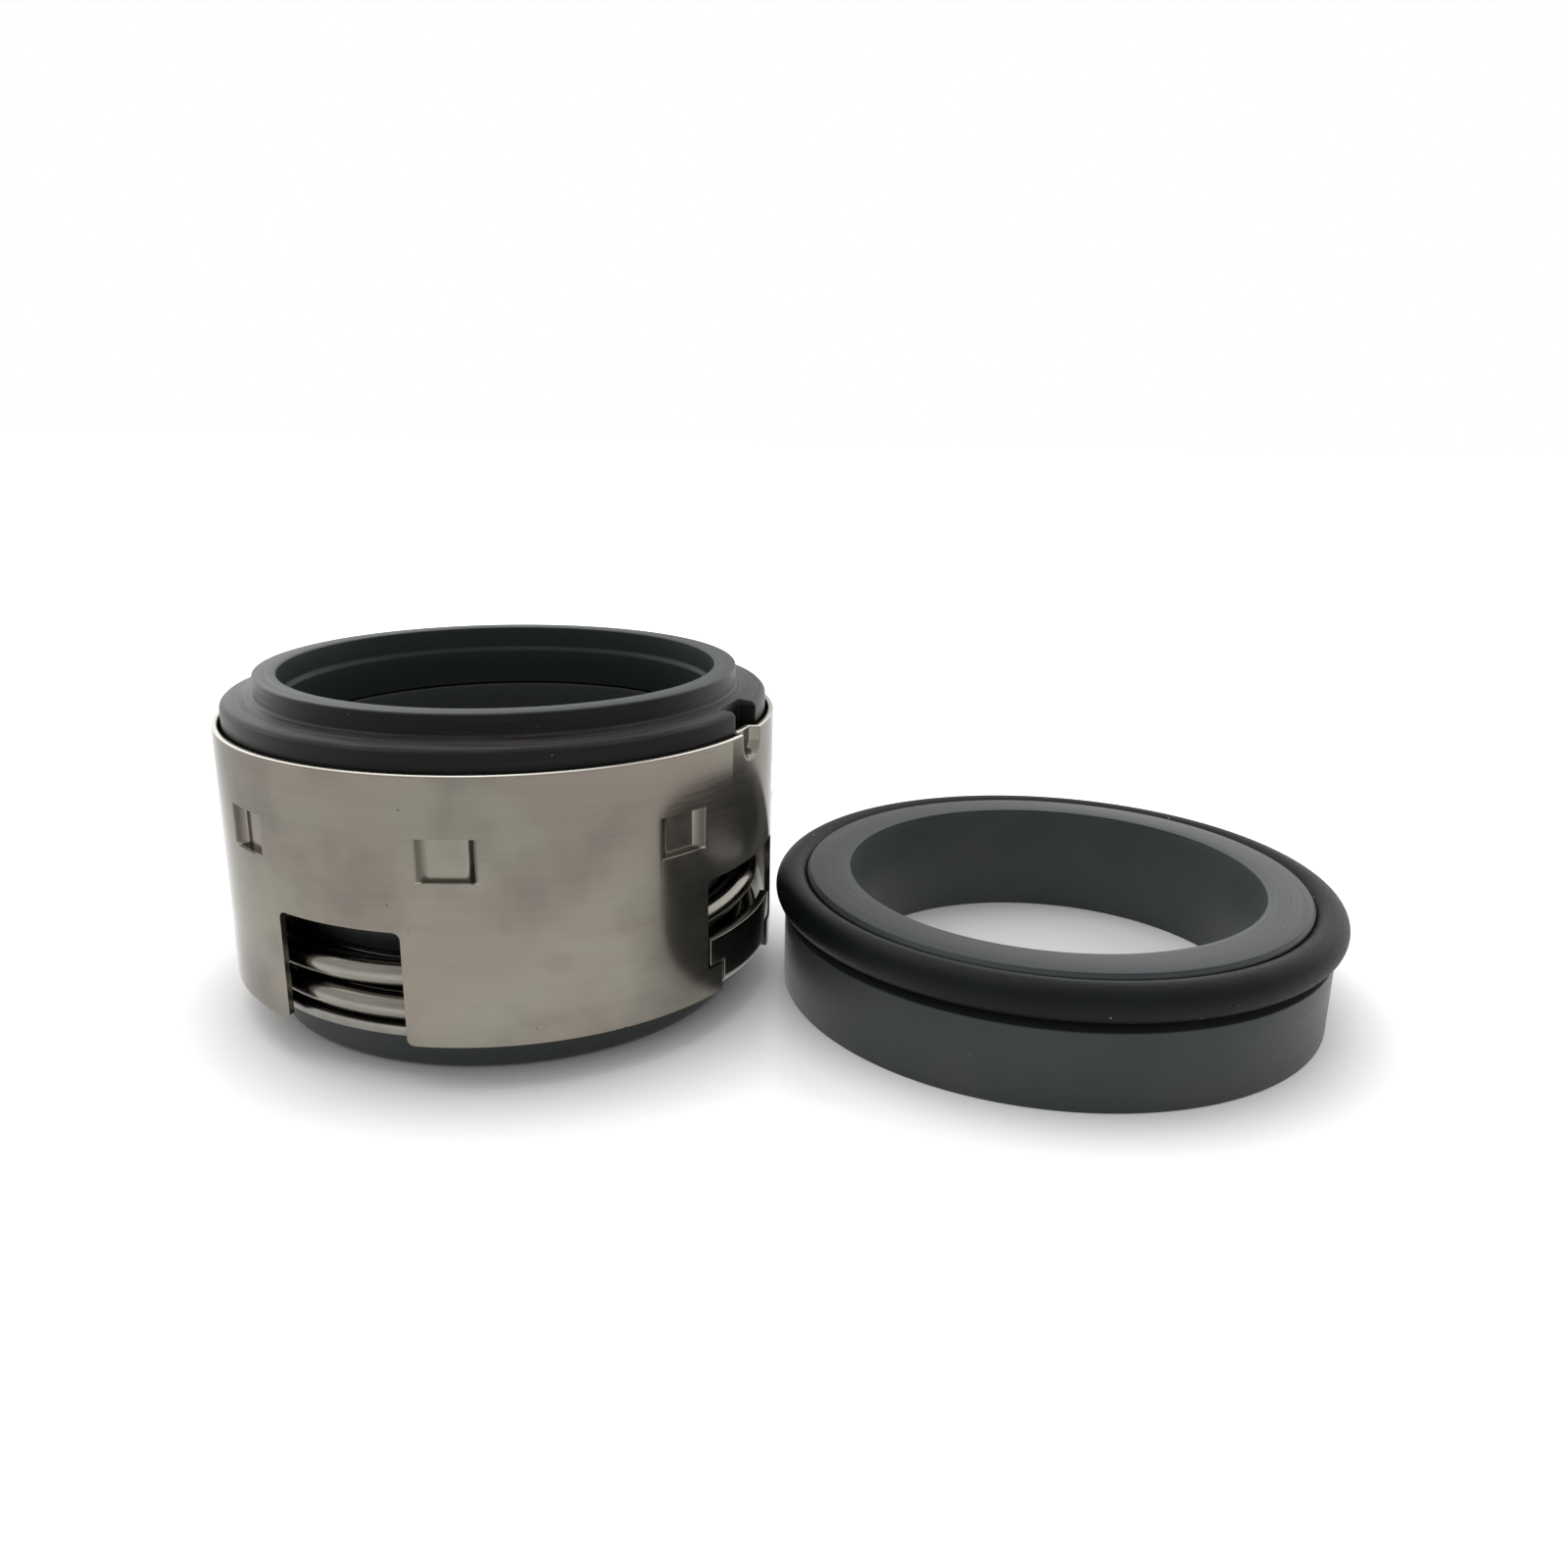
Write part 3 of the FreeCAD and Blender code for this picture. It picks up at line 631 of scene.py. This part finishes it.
def seat_o_ring():
    section = (o_ring_high.z - o_ring_low.z) / 2
    reach = (o_ring_high.x - o_ring_low.x) / 2
    deselect()
    bpy.ops.mesh.primitive_torus_add(
        location=Vector((SEAT_X, 0, (o_ring_high.z + o_ring_low.z) / 2)) * MM,
        major_segments=288, minor_segments=48,
        major_radius=(reach - section) * MM, minor_radius=section * MM)
    ring = take_new("o_ring")
    settle(ring)
    activate(ring)
    bpy.ops.object.shade_smooth()
    return ring


# Material helpers

# A Mix node's colour sockets share their names, so they go by number
MIX_SHARE = 0
MIX_UNDER = 6
MIX_OVER = 7
MIX_COLOUR = 2


def linear(code):
    """An sRGB hex colour as linear red, green, blue and alpha."""
    values = []
    for start in (1, 3, 5):
        value = int(code[start:start + 2], 16) / 255
        values.append(value / 12.92 if value <= 0.04045 else ((value + 0.055) / 1.055) ** 2.4)
    return (values[0], values[1], values[2], 1.0)


def add_node(tree, kind, links=None, **settings):
    """Add a node. Settings are its own properties; links give its inputs a value or a socket."""
    node = tree.nodes.new(kind)
    for name, value in settings.items():
        setattr(node, name, value)
    for key, value in (links or {}).items():
        if isinstance(value, bpy.types.NodeSocket):
            tree.links.new(value, node.inputs[key])
        else:
            node.inputs[key].default_value = value
    return node


def start_material(name):
    """A material with an empty Principled shader that is linked to the output."""
    material = bpy.data.materials.new(name)
    material.use_nodes = True
    tree = material.node_tree
    tree.nodes.clear()
    shader = add_node(tree, "ShaderNodeBsdfPrincipled")
    add_node(tree, "ShaderNodeOutputMaterial", {"Surface": shader.outputs["BSDF"]})
    return material, tree, shader


def round_shaft(tree, middle=0.0):
    """Object coordinates about a shaft: the way round it as a unit vector, the radius and the height."""
    coordinates = add_node(tree, "ShaderNodeTexCoord")
    moved = add_node(tree, "ShaderNodeMapping", {
        "Vector": coordinates.outputs["Object"], "Location": (-middle * MM, 0, 0)})
    split = add_node(tree, "ShaderNodeSeparateXYZ", {"Vector": moved.outputs["Vector"]})
    flat = add_node(tree, "ShaderNodeCombineXYZ", {"X": split.outputs["X"], "Y": split.outputs["Y"]})
    way = add_node(tree, "ShaderNodeVectorMath", {0: flat.outputs["Vector"]}, operation="NORMALIZE")
    radius = add_node(tree, "ShaderNodeVectorMath", {0: flat.outputs["Vector"]}, operation="LENGTH")
    return moved.outputs["Vector"], way.outputs["Vector"], radius.outputs["Value"], split.outputs["Z"]


def streaks(tree, way, along, length, spacing, detail=3.0, reach=SHELL_RADIUS):
    """Noise drawn out round the shaft: streaks of a length, spaced along a height or a radius."""
    ring = add_node(tree, "ShaderNodeVectorMath", {0: way, "Scale": reach / length}, operation="SCALE")
    rows = add_node(tree, "ShaderNodeMath", {0: along, 1: 1 / (spacing * MM)}, operation="MULTIPLY")
    lift = add_node(tree, "ShaderNodeCombineXYZ", {"Z": rows.outputs["Value"]})
    place = add_node(tree, "ShaderNodeVectorMath", {
        0: ring.outputs["Vector"], 1: lift.outputs["Vector"]}, operation="ADD")
    noise = add_node(tree, "ShaderNodeTexNoise", {
        "Vector": place.outputs["Vector"], "Scale": 1.0, "Detail": detail, "Roughness": 0.6})
    return noise.outputs["Fac"]


def blotches(tree, vector, size, detail=2.0, offset=0.0):
    """Soft patches of a size in millimetres."""
    moved = add_node(tree, "ShaderNodeMapping", {"Vector": vector, "Location": (offset, offset, offset)})
    noise = add_node(tree, "ShaderNodeTexNoise", {
        "Vector": moved.outputs["Vector"], "Scale": 1 / (size * MM), "Detail": detail, "Roughness": 0.55})
    return noise.outputs["Fac"]


def overlap(tree, share, *others):
    """The share that lies in each of several shares."""
    for other in others:
        both = add_node(tree, "ShaderNodeMath", {0: share, 1: other}, operation="MULTIPLY")
        share = both.outputs["Value"]
    return share


def zone_of(tree, value, low, high, rise=0.2, fall=None):
    """1 where a value lies between two sizes in millimetres. It rises over a width before the zone and
    falls over a width after it, which is the same one unless it is given."""
    rising = add_node(tree, "ShaderNodeMapRange", {
        "Value": value, "From Min": (low - rise) * MM, "From Max": low * MM})
    falling = add_node(tree, "ShaderNodeMapRange", {
        "Value": value, "From Min": (high + (fall or rise)) * MM, "From Max": high * MM})
    return overlap(tree, rising.outputs["Result"], falling.outputs["Result"])


def specks(tree, vector, size, share, offset=0.0):
    """1 in small round specks, 0 elsewhere. Size is the cell, share is how much of it a speck fills."""
    moved = add_node(tree, "ShaderNodeMapping", {"Vector": vector, "Location": (offset, offset, offset)})
    cells = add_node(tree, "ShaderNodeTexVoronoi", {
        "Vector": moved.outputs["Vector"], "Scale": 1 / (size * MM), "Randomness": 1.0})
    near = add_node(tree, "ShaderNodeMapRange", {
        "Value": cells.outputs["Distance"], "From Min": share, "From Max": share * 0.6})
    # Only the cells with a high random tone, about one in four, hold a speck
    tone = add_node(tree, "ShaderNodeSeparateColor", {"Color": cells.outputs["Color"]})
    chosen = add_node(tree, "ShaderNodeMapRange", {
        "Value": tone.outputs["Red"], "From Min": 0.72, "From Max": 0.74})
    return overlap(tree, near.outputs["Result"], chosen.outputs["Result"])


def lay_over(tree, under, over, pattern, low=0.0, high=1.0, most=1.0):
    """Lay a colour over another one, from not at all where a pattern is low to most where it is high."""
    share = add_node(tree, "ShaderNodeMapRange", {
        "Value": pattern, "From Min": low, "From Max": high, "To Max": most})
    mixed = add_node(tree, "ShaderNodeMix", {
        MIX_SHARE: share.outputs["Result"], MIX_UNDER: under, MIX_OVER: over}, data_type="RGBA")
    return mixed.outputs[MIX_COLOUR]


def finish_surface(tree, shader, colour, pattern, smooth, rough, *relief):
    """Give a shader its colour, a roughness that goes from smooth to rough as a pattern rises, and
    relief: patterns, each with its depth in millimetres, laid over one another."""
    tree.links.new(colour, shader.inputs["Base Color"])
    roughness = add_node(tree, "ShaderNodeMapRange", {
        "Value": pattern, "From Min": 0.3, "From Max": 0.7, "To Min": smooth, "To Max": rough})
    tree.links.new(roughness.outputs["Result"], shader.inputs["Roughness"])
    links = {}
    for height, depth in relief:
        links.update({"Height": height, "Strength": 1.0, "Distance": depth * MM})
        links["Normal"] = add_node(tree, "ShaderNodeBump", links).outputs["Normal"]
    tree.links.new(links["Normal"], shader.inputs["Normal"])


# Materials

# Dark fired and moulded skins are porous, so they mirror less than a clean dense one does
FACE_RING_GLOSS = 0.12
SEAT_GLOSS = 0.18
BELLOWS_GLOSS = 0.25
O_RING_GLOSS = 0.12
# How far the roughness of a ceramic or a rubber goes up and down from its middle
ROUGH_RANGE = 0.05
# How far the colour of a press fold goes towards a dark painted shade
PAINTED_FOLD_SHADE = 0.7
# A film from handling scatters a little light, so the sheet is a touch less than a clean metal, and
# it gleams less than white where it is seen at a low angle
SHELL_METALLIC = 0.8
SHELL_GLEAM = "#cacaca"


def shell_steel():
    """Stainless sheet, spun and brushed round: a satin grey with fine level streaks, warm and cool
    patches where it was handled, dark blotches of painted reflection, a few dark pits, painted
    shade in the folds of the dimples, painted light on the floors of the dimples and the dents, and
    a painted highlight on the dimples' lower lip and on the rim."""
    material, tree, shader = start_material("brushed_stainless_sheet")
    place, way, radius, height = round_shaft(tree)
    broad = streaks(tree, way, height, 26.0, 1.6)
    # Real brushing is about 0.05 mm apart; it is drawn at 0.28 mm so that it shows
    fine = streaks(tree, way, height, 9.0, 0.28, detail=4.0)
    patches = blotches(tree, place, 20.0)
    # Dark blotches, a painted reflection of dark surroundings
    painted_dark_reflections = blotches(tree, place, 13.0, detail=3.0, offset=7.0)
    pits = specks(tree, place, 2.3, 0.06)
    depth = add_node(tree, "ShaderNodeMath", {0: SHELL_RADIUS * MM, 1: radius}, operation="SUBTRACT")
    pressed = depth.outputs["Value"]
    # The sides of the dimples get a painted shade, a dark colour in their folds
    in_row = zone_of(tree, height, DIMPLE_BOTTOM + 0.3, DIMPLE_TOP)
    folds = overlap(tree, in_row, zone_of(tree, pressed, 0.12, 0.4, rise=0.12, fall=0.6))
    # Painted highlights: a near-white colour on the dimples' lower lip and on the rim
    at_lip = zone_of(tree, height, DIMPLE_BOTTOM - 0.1, DIMPLE_BOTTOM + 0.03, rise=0.03)
    lip = overlap(tree, at_lip, zone_of(tree, pressed, 0.05, 0.4, rise=0.05))
    # Painted light: the floors of the dimples and the dents are painted lighter
    painted_floor_light = zone_of(tree, pressed, DIMPLE_DEPTH, SHELL_RADIUS, rise=0.2 * DIMPLE_DEPTH)
    rim = zone_of(tree, height, SHELL_TOP - 0.08, SHELL_TOP, rise=0.12)
    colour = lay_over(tree, linear("#786f67"), linear("#7b776d"), patches, 0.4, 0.6)
    # Painted reflection: dark blotches
    colour = lay_over(tree, colour, linear("#615d57"), painted_dark_reflections, 0.46, 0.66, most=0.75)
    colour = lay_over(tree, colour, linear("#6c6760"), broad, 0.3, 0.7, most=0.3)
    colour = lay_over(tree, colour, linear("#888379"), fine, 0.35, 0.75, most=0.2)
    colour = lay_over(tree, colour, linear("#3b3733"), pits)
    colour = lay_over(tree, colour, linear("#3a3430"), folds, most=PAINTED_FOLD_SHADE)
    colour = lay_over(tree, colour, linear("#979288"), painted_floor_light, most=0.25)
    # Painted highlights on the lip and the rim
    colour = lay_over(tree, colour, linear("#f0ece4"), lip)
    colour = lay_over(tree, colour, linear("#d2cec5"), rim)
    shader.inputs["Metallic"].default_value = SHELL_METALLIC
    shader.inputs["Specular Tint"].default_value = linear(SHELL_GLEAM)
    shader.inputs["Anisotropic"].default_value = 0.6
    shader.inputs["Anisotropic Rotation"].default_value = 0.25
    tangent = add_node(tree, "ShaderNodeTangent", direction_type="RADIAL", axis="Z")
    tree.links.new(tangent.outputs["Tangent"], shader.inputs["Tangent"])
    waves = blotches(tree, place, 9.0, detail=0.0, offset=3.0)
    finish_surface(tree, shader, colour, fine, 0.14, 0.2, (fine, 0.002), (waves, 0.05))
    return material


def pressed_steel():
    """Stainless sheet as it comes from the press: a smooth dark satin, a little mottled."""
    material, tree, shader = start_material("pressed_stainless")
    place = round_shaft(tree)[0]
    mottle = blotches(tree, place, 3.0, detail=4.0)
    colour = lay_over(tree, linear("#6e6c67"), linear("#7b7973"), mottle, 0.35, 0.65)
    shader.inputs["Metallic"].default_value = 1.0
    finish_surface(tree, shader, colour, mottle, 0.2, 0.28, (mottle, 0.001))
    return material


def spring_steel():
    """Drawn spring wire: smooth and bright, with faint lines along the wire."""
    material, tree, shader = start_material("drawn_spring_wire")
    way, radius = round_shaft(tree)[1:3]
    # The die's lines are about 0.03 mm apart; they are drawn at 0.25 mm so that they show
    drawn = streaks(tree, way, radius, 14.0, 0.25)
    colour = lay_over(tree, linear("#6e6a63"), linear("#7f7c75"), drawn, 0.35, 0.65)
    shader.inputs["Metallic"].default_value = 1.0
    finish_surface(tree, shader, colour, drawn, 0.14, 0.24, (drawn, 0.003))
    return material


def turned_ceramic(name, middle, dark, light, rough, gloss):
    """Dense ceramic that was turned and ground: dark grey and even, with faint rings from the tool,
    a fine grain and a soft gleam at a low angle."""
    material, tree, shader = start_material(name)
    place, way, radius, height = round_shaft(tree, middle)
    across = add_node(tree, "ShaderNodeMath", {0: radius, 1: height}, operation="ADD").outputs["Value"]
    # The tool's rings are about 0.1 mm apart; they are drawn at 0.35 mm so that they show
    rings = streaks(tree, way, across, 40.0, 0.35)
    grain = blotches(tree, place, 0.35, detail=4.0)
    cloud = blotches(tree, place, 14.0, offset=5.0)
    dust = specks(tree, place, 2.6, 0.05, offset=1.0)
    colour = lay_over(tree, linear(dark), linear(light), cloud, 0.35, 0.65)
    colour = lay_over(tree, colour, linear("#5c5a56"), rings, 0.45, 0.8, most=0.12)
    colour = lay_over(tree, colour, linear("#77746d"), dust)
    shader.inputs["Specular IOR Level"].default_value = gloss
    relief = (rings, 0.006), (grain, 0.006)
    finish_surface(tree, shader, colour, rings, rough - ROUGH_RANGE, rough + ROUGH_RANGE, *relief)
    return material


def finishes_and_painted_tones(material, middle, *zones):
    """Other finishes on a turned ring, and painted light and shade on its faces: each is a function for its
    share and one for its colour.
    """
    tree = material.node_tree
    shader = [node for node in tree.nodes if node.type == "BSDF_PRINCIPLED"][0]
    way, radius, height = round_shaft(tree, middle)[1:]
    for share_of, colour_of in zones:
        under = shader.inputs["Base Color"].links[0].from_socket
        zoned = lay_over(tree, under, colour_of(tree, way, radius), share_of(tree, radius, height))
        tree.links.new(zoned, shader.inputs["Base Color"])


def shoulder_band(tree, radius, height):
    """The share of the primary ring's shoulder, outside its nose."""
    at_shoulder = zone_of(tree, height, ring_high.z - 3.4, ring_high.z - 2.5)
    return overlap(tree, at_shoulder, zone_of(tree, radius, NOSE_RADIUS + 0.2, SHELL_RADIUS))


def tool_marks_and_painted_light(tree, way, radius):
    """Streaks that the turning tool left, browner than the ring's other faces and painted lighter than its
    walls, a painted light on this upward face.
    """
    marks = streaks(tree, way, radius, 12.0, 0.5, detail=4.0, reach=ring_high.x)
    return lay_over(tree, linear("#232121"), linear("#464341"), marks, 0.35, 0.7)


def painted_top_face(top):
    """The share of a face at a height, for a painted tone on a top face."""
    return lambda tree, radius, height: zone_of(tree, height, top - 0.1, top, rise=0.15)


def ground_bore(reach):
    """The share of a bore inside a radius."""
    return lambda tree, radius, height: zone_of(tree, radius, 0, reach, rise=0.1)


def even(code):
    """One colour all over a zone."""
    return lambda tree, way, radius: linear(code)


def moulded_rubber(name, middle, dark, light, rough, gloss, dust):
    """Moulded rubber: dark, with a satin skin, slightly uneven, with grey dust in places."""
    material, tree, shader = start_material(name)
    place = round_shaft(tree, middle)[0]
    # The mould's spark-eroded skin is about 0.1 mm fine; it is drawn at 0.5 mm so that it shows
    skin = blotches(tree, place, 0.5, detail=4.0)
    cloud = blotches(tree, place, 11.0, offset=2.0)
    colour = lay_over(tree, linear(dark), linear(light), cloud, 0.35, 0.65)
    colour = lay_over(tree, colour, linear("#8b8a86"), specks(tree, place, 2.1, dust, offset=4.0))
    shader.inputs["Specular IOR Level"].default_value = gloss
    relief = (skin, 0.008)
    finish_surface(tree, shader, colour, skin, rough - ROUGH_RANGE, rough + ROUGH_RANGE, relief)
    return material


# Camera at the photograph's place

CAMERA_PLACE = Vector((42.56, -165.86, 76.03))
CAMERA_HEADING = 1.49
CAMERA_PITCH = 16.24
CAMERA_ROLL = 1.006
PHOTO_WIDTH = 1600
FOCAL_PIXELS = 1280.7
SENSOR_WIDTH = 36.0


def camera():
    data = bpy.data.cameras.new("camera")
    data.sensor_width = SENSOR_WIDTH
    data.lens = SENSOR_WIDTH * FOCAL_PIXELS / PHOTO_WIDTH
    data.clip_start = 0.005
    data.clip_end = 20
    viewer = bpy.data.objects.new("camera", data)
    bpy.context.scene.collection.objects.link(viewer)
    heading = Matrix.Rotation(math.radians(CAMERA_HEADING), 4, "Z")
    pitch = Matrix.Rotation(math.radians(90 - CAMERA_PITCH), 4, "X")
    roll = Matrix.Rotation(math.radians(CAMERA_ROLL), 4, "Z")
    viewer.matrix_world = Matrix.Translation(CAMERA_PLACE * MM) @ heading @ pitch @ roll
    bpy.context.scene.camera = viewer


# Floor, world and lamps, with their sizes and places in metres

FLOOR_SIZE = 8.0
# The floor's own white starts outside the rings, so that their bores and feet keep their shade
SHADE_INNER = 0.03
SHADE_OUTER = 0.055
SHADE_GLOW = 0.62
FLOOR_NEAR = 0.15
FLOOR_FAR = 0.45
FLOOR_GLOW = 0.4
# Painted light: in mirror rays only, the floor glows white close to the object, over its shadow, so that
# bright metal shows white there
MIRROR_NEAR = 0.05
MIRROR_FAR = 0.13
PAINTED_MIRROR_LIGHT = 0.5
# What the world adds to the lamps' light
WORLD_LIGHT = 0.4


def seen_directly(tree):
    """1 for rays from the camera and for mirror and glass rays, 0 for the rays that light things."""
    path = add_node(tree, "ShaderNodeLightPath")
    seen = path.outputs["Is Camera Ray"]
    for kind in ("Is Glossy Ray", "Is Transmission Ray"):
        either = add_node(tree, "ShaderNodeMath", {0: seen, 1: path.outputs[kind]}, operation="MAXIMUM")
        seen = either.outputs["Value"]
    return seen


def floor():
    """A pale floor that keeps the object's shadow near it and runs out to clean white."""
    deselect()
    bpy.ops.mesh.primitive_plane_add(size=FLOOR_SIZE, location=(0, 0, 0))
    ground = take_new("floor")
    material, tree, shader = start_material("pale_floor")
    grain = blotches(tree, add_node(tree, "ShaderNodeTexCoord").outputs["Object"], 30.0)
    colour = lay_over(tree, linear("#f3f3f2"), linear("#f6f6f5"), grain)
    tree.links.new(colour, shader.inputs["Base Color"])
    shader.inputs["Roughness"].default_value = 0.9
    shader.inputs["Specular IOR Level"].default_value = 0.1
    radius = round_shaft(tree)[2]
    seat_distance = round_shaft(tree, SEAT_X)[2]
    nearest = add_node(tree, "ShaderNodeMath", {0: radius, 1: seat_distance}, operation="MINIMUM")
    clear = add_node(tree, "ShaderNodeMapRange", {
        "Value": nearest.outputs["Value"], "From Min": SHADE_INNER, "From Max": SHADE_OUTER,
        "To Max": SHADE_GLOW})
    far = add_node(tree, "ShaderNodeMapRange", {
        "Value": radius, "From Min": FLOOR_NEAR, "From Max": FLOOR_FAR, "To Max": FLOOR_GLOW})
    white = add_node(tree, "ShaderNodeMath", {
        0: clear.outputs["Result"], 1: far.outputs["Result"]}, operation="ADD")
    shown = overlap(tree, seen_directly(tree), white.outputs["Value"])
    # Painted light seen only in mirror rays: the floor glows near the object
    near = add_node(tree, "ShaderNodeMapRange", {
        "Value": radius, "From Min": MIRROR_NEAR, "From Max": MIRROR_FAR, "To Min": PAINTED_MIRROR_LIGHT,
        "To Max": 0.0})
    mirrored = add_node(tree, "ShaderNodeLightPath").outputs["Is Glossy Ray"]
    strength = add_node(tree, "ShaderNodeMath", {
        0: mirrored, 1: near.outputs["Result"], 2: shown}, operation="MULTIPLY_ADD")
    glow = add_node(tree, "ShaderNodeEmission", {
        "Color": linear("#ffffff"), "Strength": strength.outputs["Value"]})
    both = add_node(tree, "ShaderNodeAddShader", {
        0: shader.outputs["BSDF"], 1: glow.outputs["Emission"]})
    output = [node for node in tree.nodes if node.type == "OUTPUT_MATERIAL"][0]
    tree.links.new(both.outputs["Shader"], output.inputs["Surface"])
    ground.data.materials.append(material)


def world():
    """White where the camera, metal or glass see it, and a plain pale light on everything else."""
    sky = bpy.data.worlds.new("studio")
    bpy.context.scene.world = sky
    sky.use_nodes = True
    tree = sky.node_tree
    tree.nodes.clear()
    strength = add_node(tree, "ShaderNodeMapRange", {
        "Value": seen_directly(tree), "To Min": WORLD_LIGHT, "To Max": 1.0})
    light = add_node(tree, "ShaderNodeBackground", {
        "Color": linear("#ffffff"), "Strength": strength.outputs["Result"]})
    add_node(tree, "ShaderNodeOutputWorld", {"Surface": light.outputs["Background"]})


def lamp(name, place, target, size, power):
    """A square soft light that faces a target, with its power in watts."""
    data = bpy.data.lights.new(name, "AREA")
    data.size = size
    data.energy = power
    light = bpy.data.objects.new(name, data)
    bpy.context.scene.collection.objects.link(light)
    direction = Vector(target) - Vector(place)
    light.matrix_world = Matrix.Translation(place) @ direction.to_track_quat("-Z", "Y").to_matrix().to_4x4()


def finish_piece(piece, material, slot, *nodes):
    """Give a piece its finish and hide the CAD nodes that it stands for."""
    piece.data.materials.clear()
    piece.data.materials.append(material)
    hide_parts(*nodes)


camera()
floor()
world()
lamp("overhead", (-0.1, 0.1, 0.9), (0.04, 0, 0), 0.7, 2.5)
lamp("left_back", (-0.5, 0.35, 0.4), (0, 0, 0.02), 0.9, 2.6)
lamp("right_back", (0.5, 0.5, 0.4), (0.05, 0, 0.02), 0.9, 2.0)

bpy.context.scene.view_settings.view_transform = "Standard"

dark_ring = turned_ceramic("turned_ceramic", 0.0, "#101111", "#171717", 0.42, FACE_RING_GLOSS)
# The primary ring's shoulder and top face are painted lighter, a painted light on its upward faces
finishes_and_painted_tones(dark_ring, 0.0, (shoulder_band, tool_marks_and_painted_light), (ground_bore(28.6), even("#2c3132")),
             (painted_top_face(ring_high.z), even("#3a3e3f")))
grey_ring = turned_ceramic("ground_ceramic", SEAT_X, "#434849", "#4a4d4f", 0.4, SEAT_GLOSS)
# The seat's top face is painted darker, a painted shade
finishes_and_painted_tones(grey_ring, SEAT_X, (painted_top_face(seat_high.z), even("#323638")))
rubber = moulded_rubber("moulded_rubber", 0.0, "#343839", "#3b3f3f", 0.5, BELLOWS_GLOSS, 0.02)
black_rubber = moulded_rubber("black_rubber", SEAT_X, "#0b0f11", "#101416", 0.5, O_RING_GLOSS, 0.09)
sheet_steel = pressed_steel()

shell_piece = retainer_shell()
finish_piece(shell_piece, shell_steel(), "shell_steel", "retainer_shell")
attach(shell_piece, "face_unit")

ring_piece = primary_ring()
finish_piece(ring_piece, dark_ring, "face_ring", "primary_ring")
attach(ring_piece, "face_unit")

disc_piece = spring_disc()
finish_piece(disc_piece, sheet_steel, "pressed_steel", "spring_disc")
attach(disc_piece, "face_unit")

band_piece = drive_ring()
finish_piece(band_piece, sheet_steel, "pressed_steel", "drive_ring")
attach(band_piece, "tail")

seat_piece = seat_ring()
finish_piece(seat_piece, grey_ring, "seat_ring", "seat_ring")
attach(seat_piece, "tail")

o_ring_piece = seat_o_ring()
finish_piece(o_ring_piece, black_rubber, "o_ring_rubber", "seat_o_ring")
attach(o_ring_piece, "tail")

spring_piece = coil_spring()
finish_piece(spring_piece, spring_steel(), "spring_wire", "coil_spring")
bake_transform(spring_piece)

rubber_piece = bellows()
finish_piece(rubber_piece, rubber, "bellows_rubber", "bellows")
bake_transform(rubber_piece)
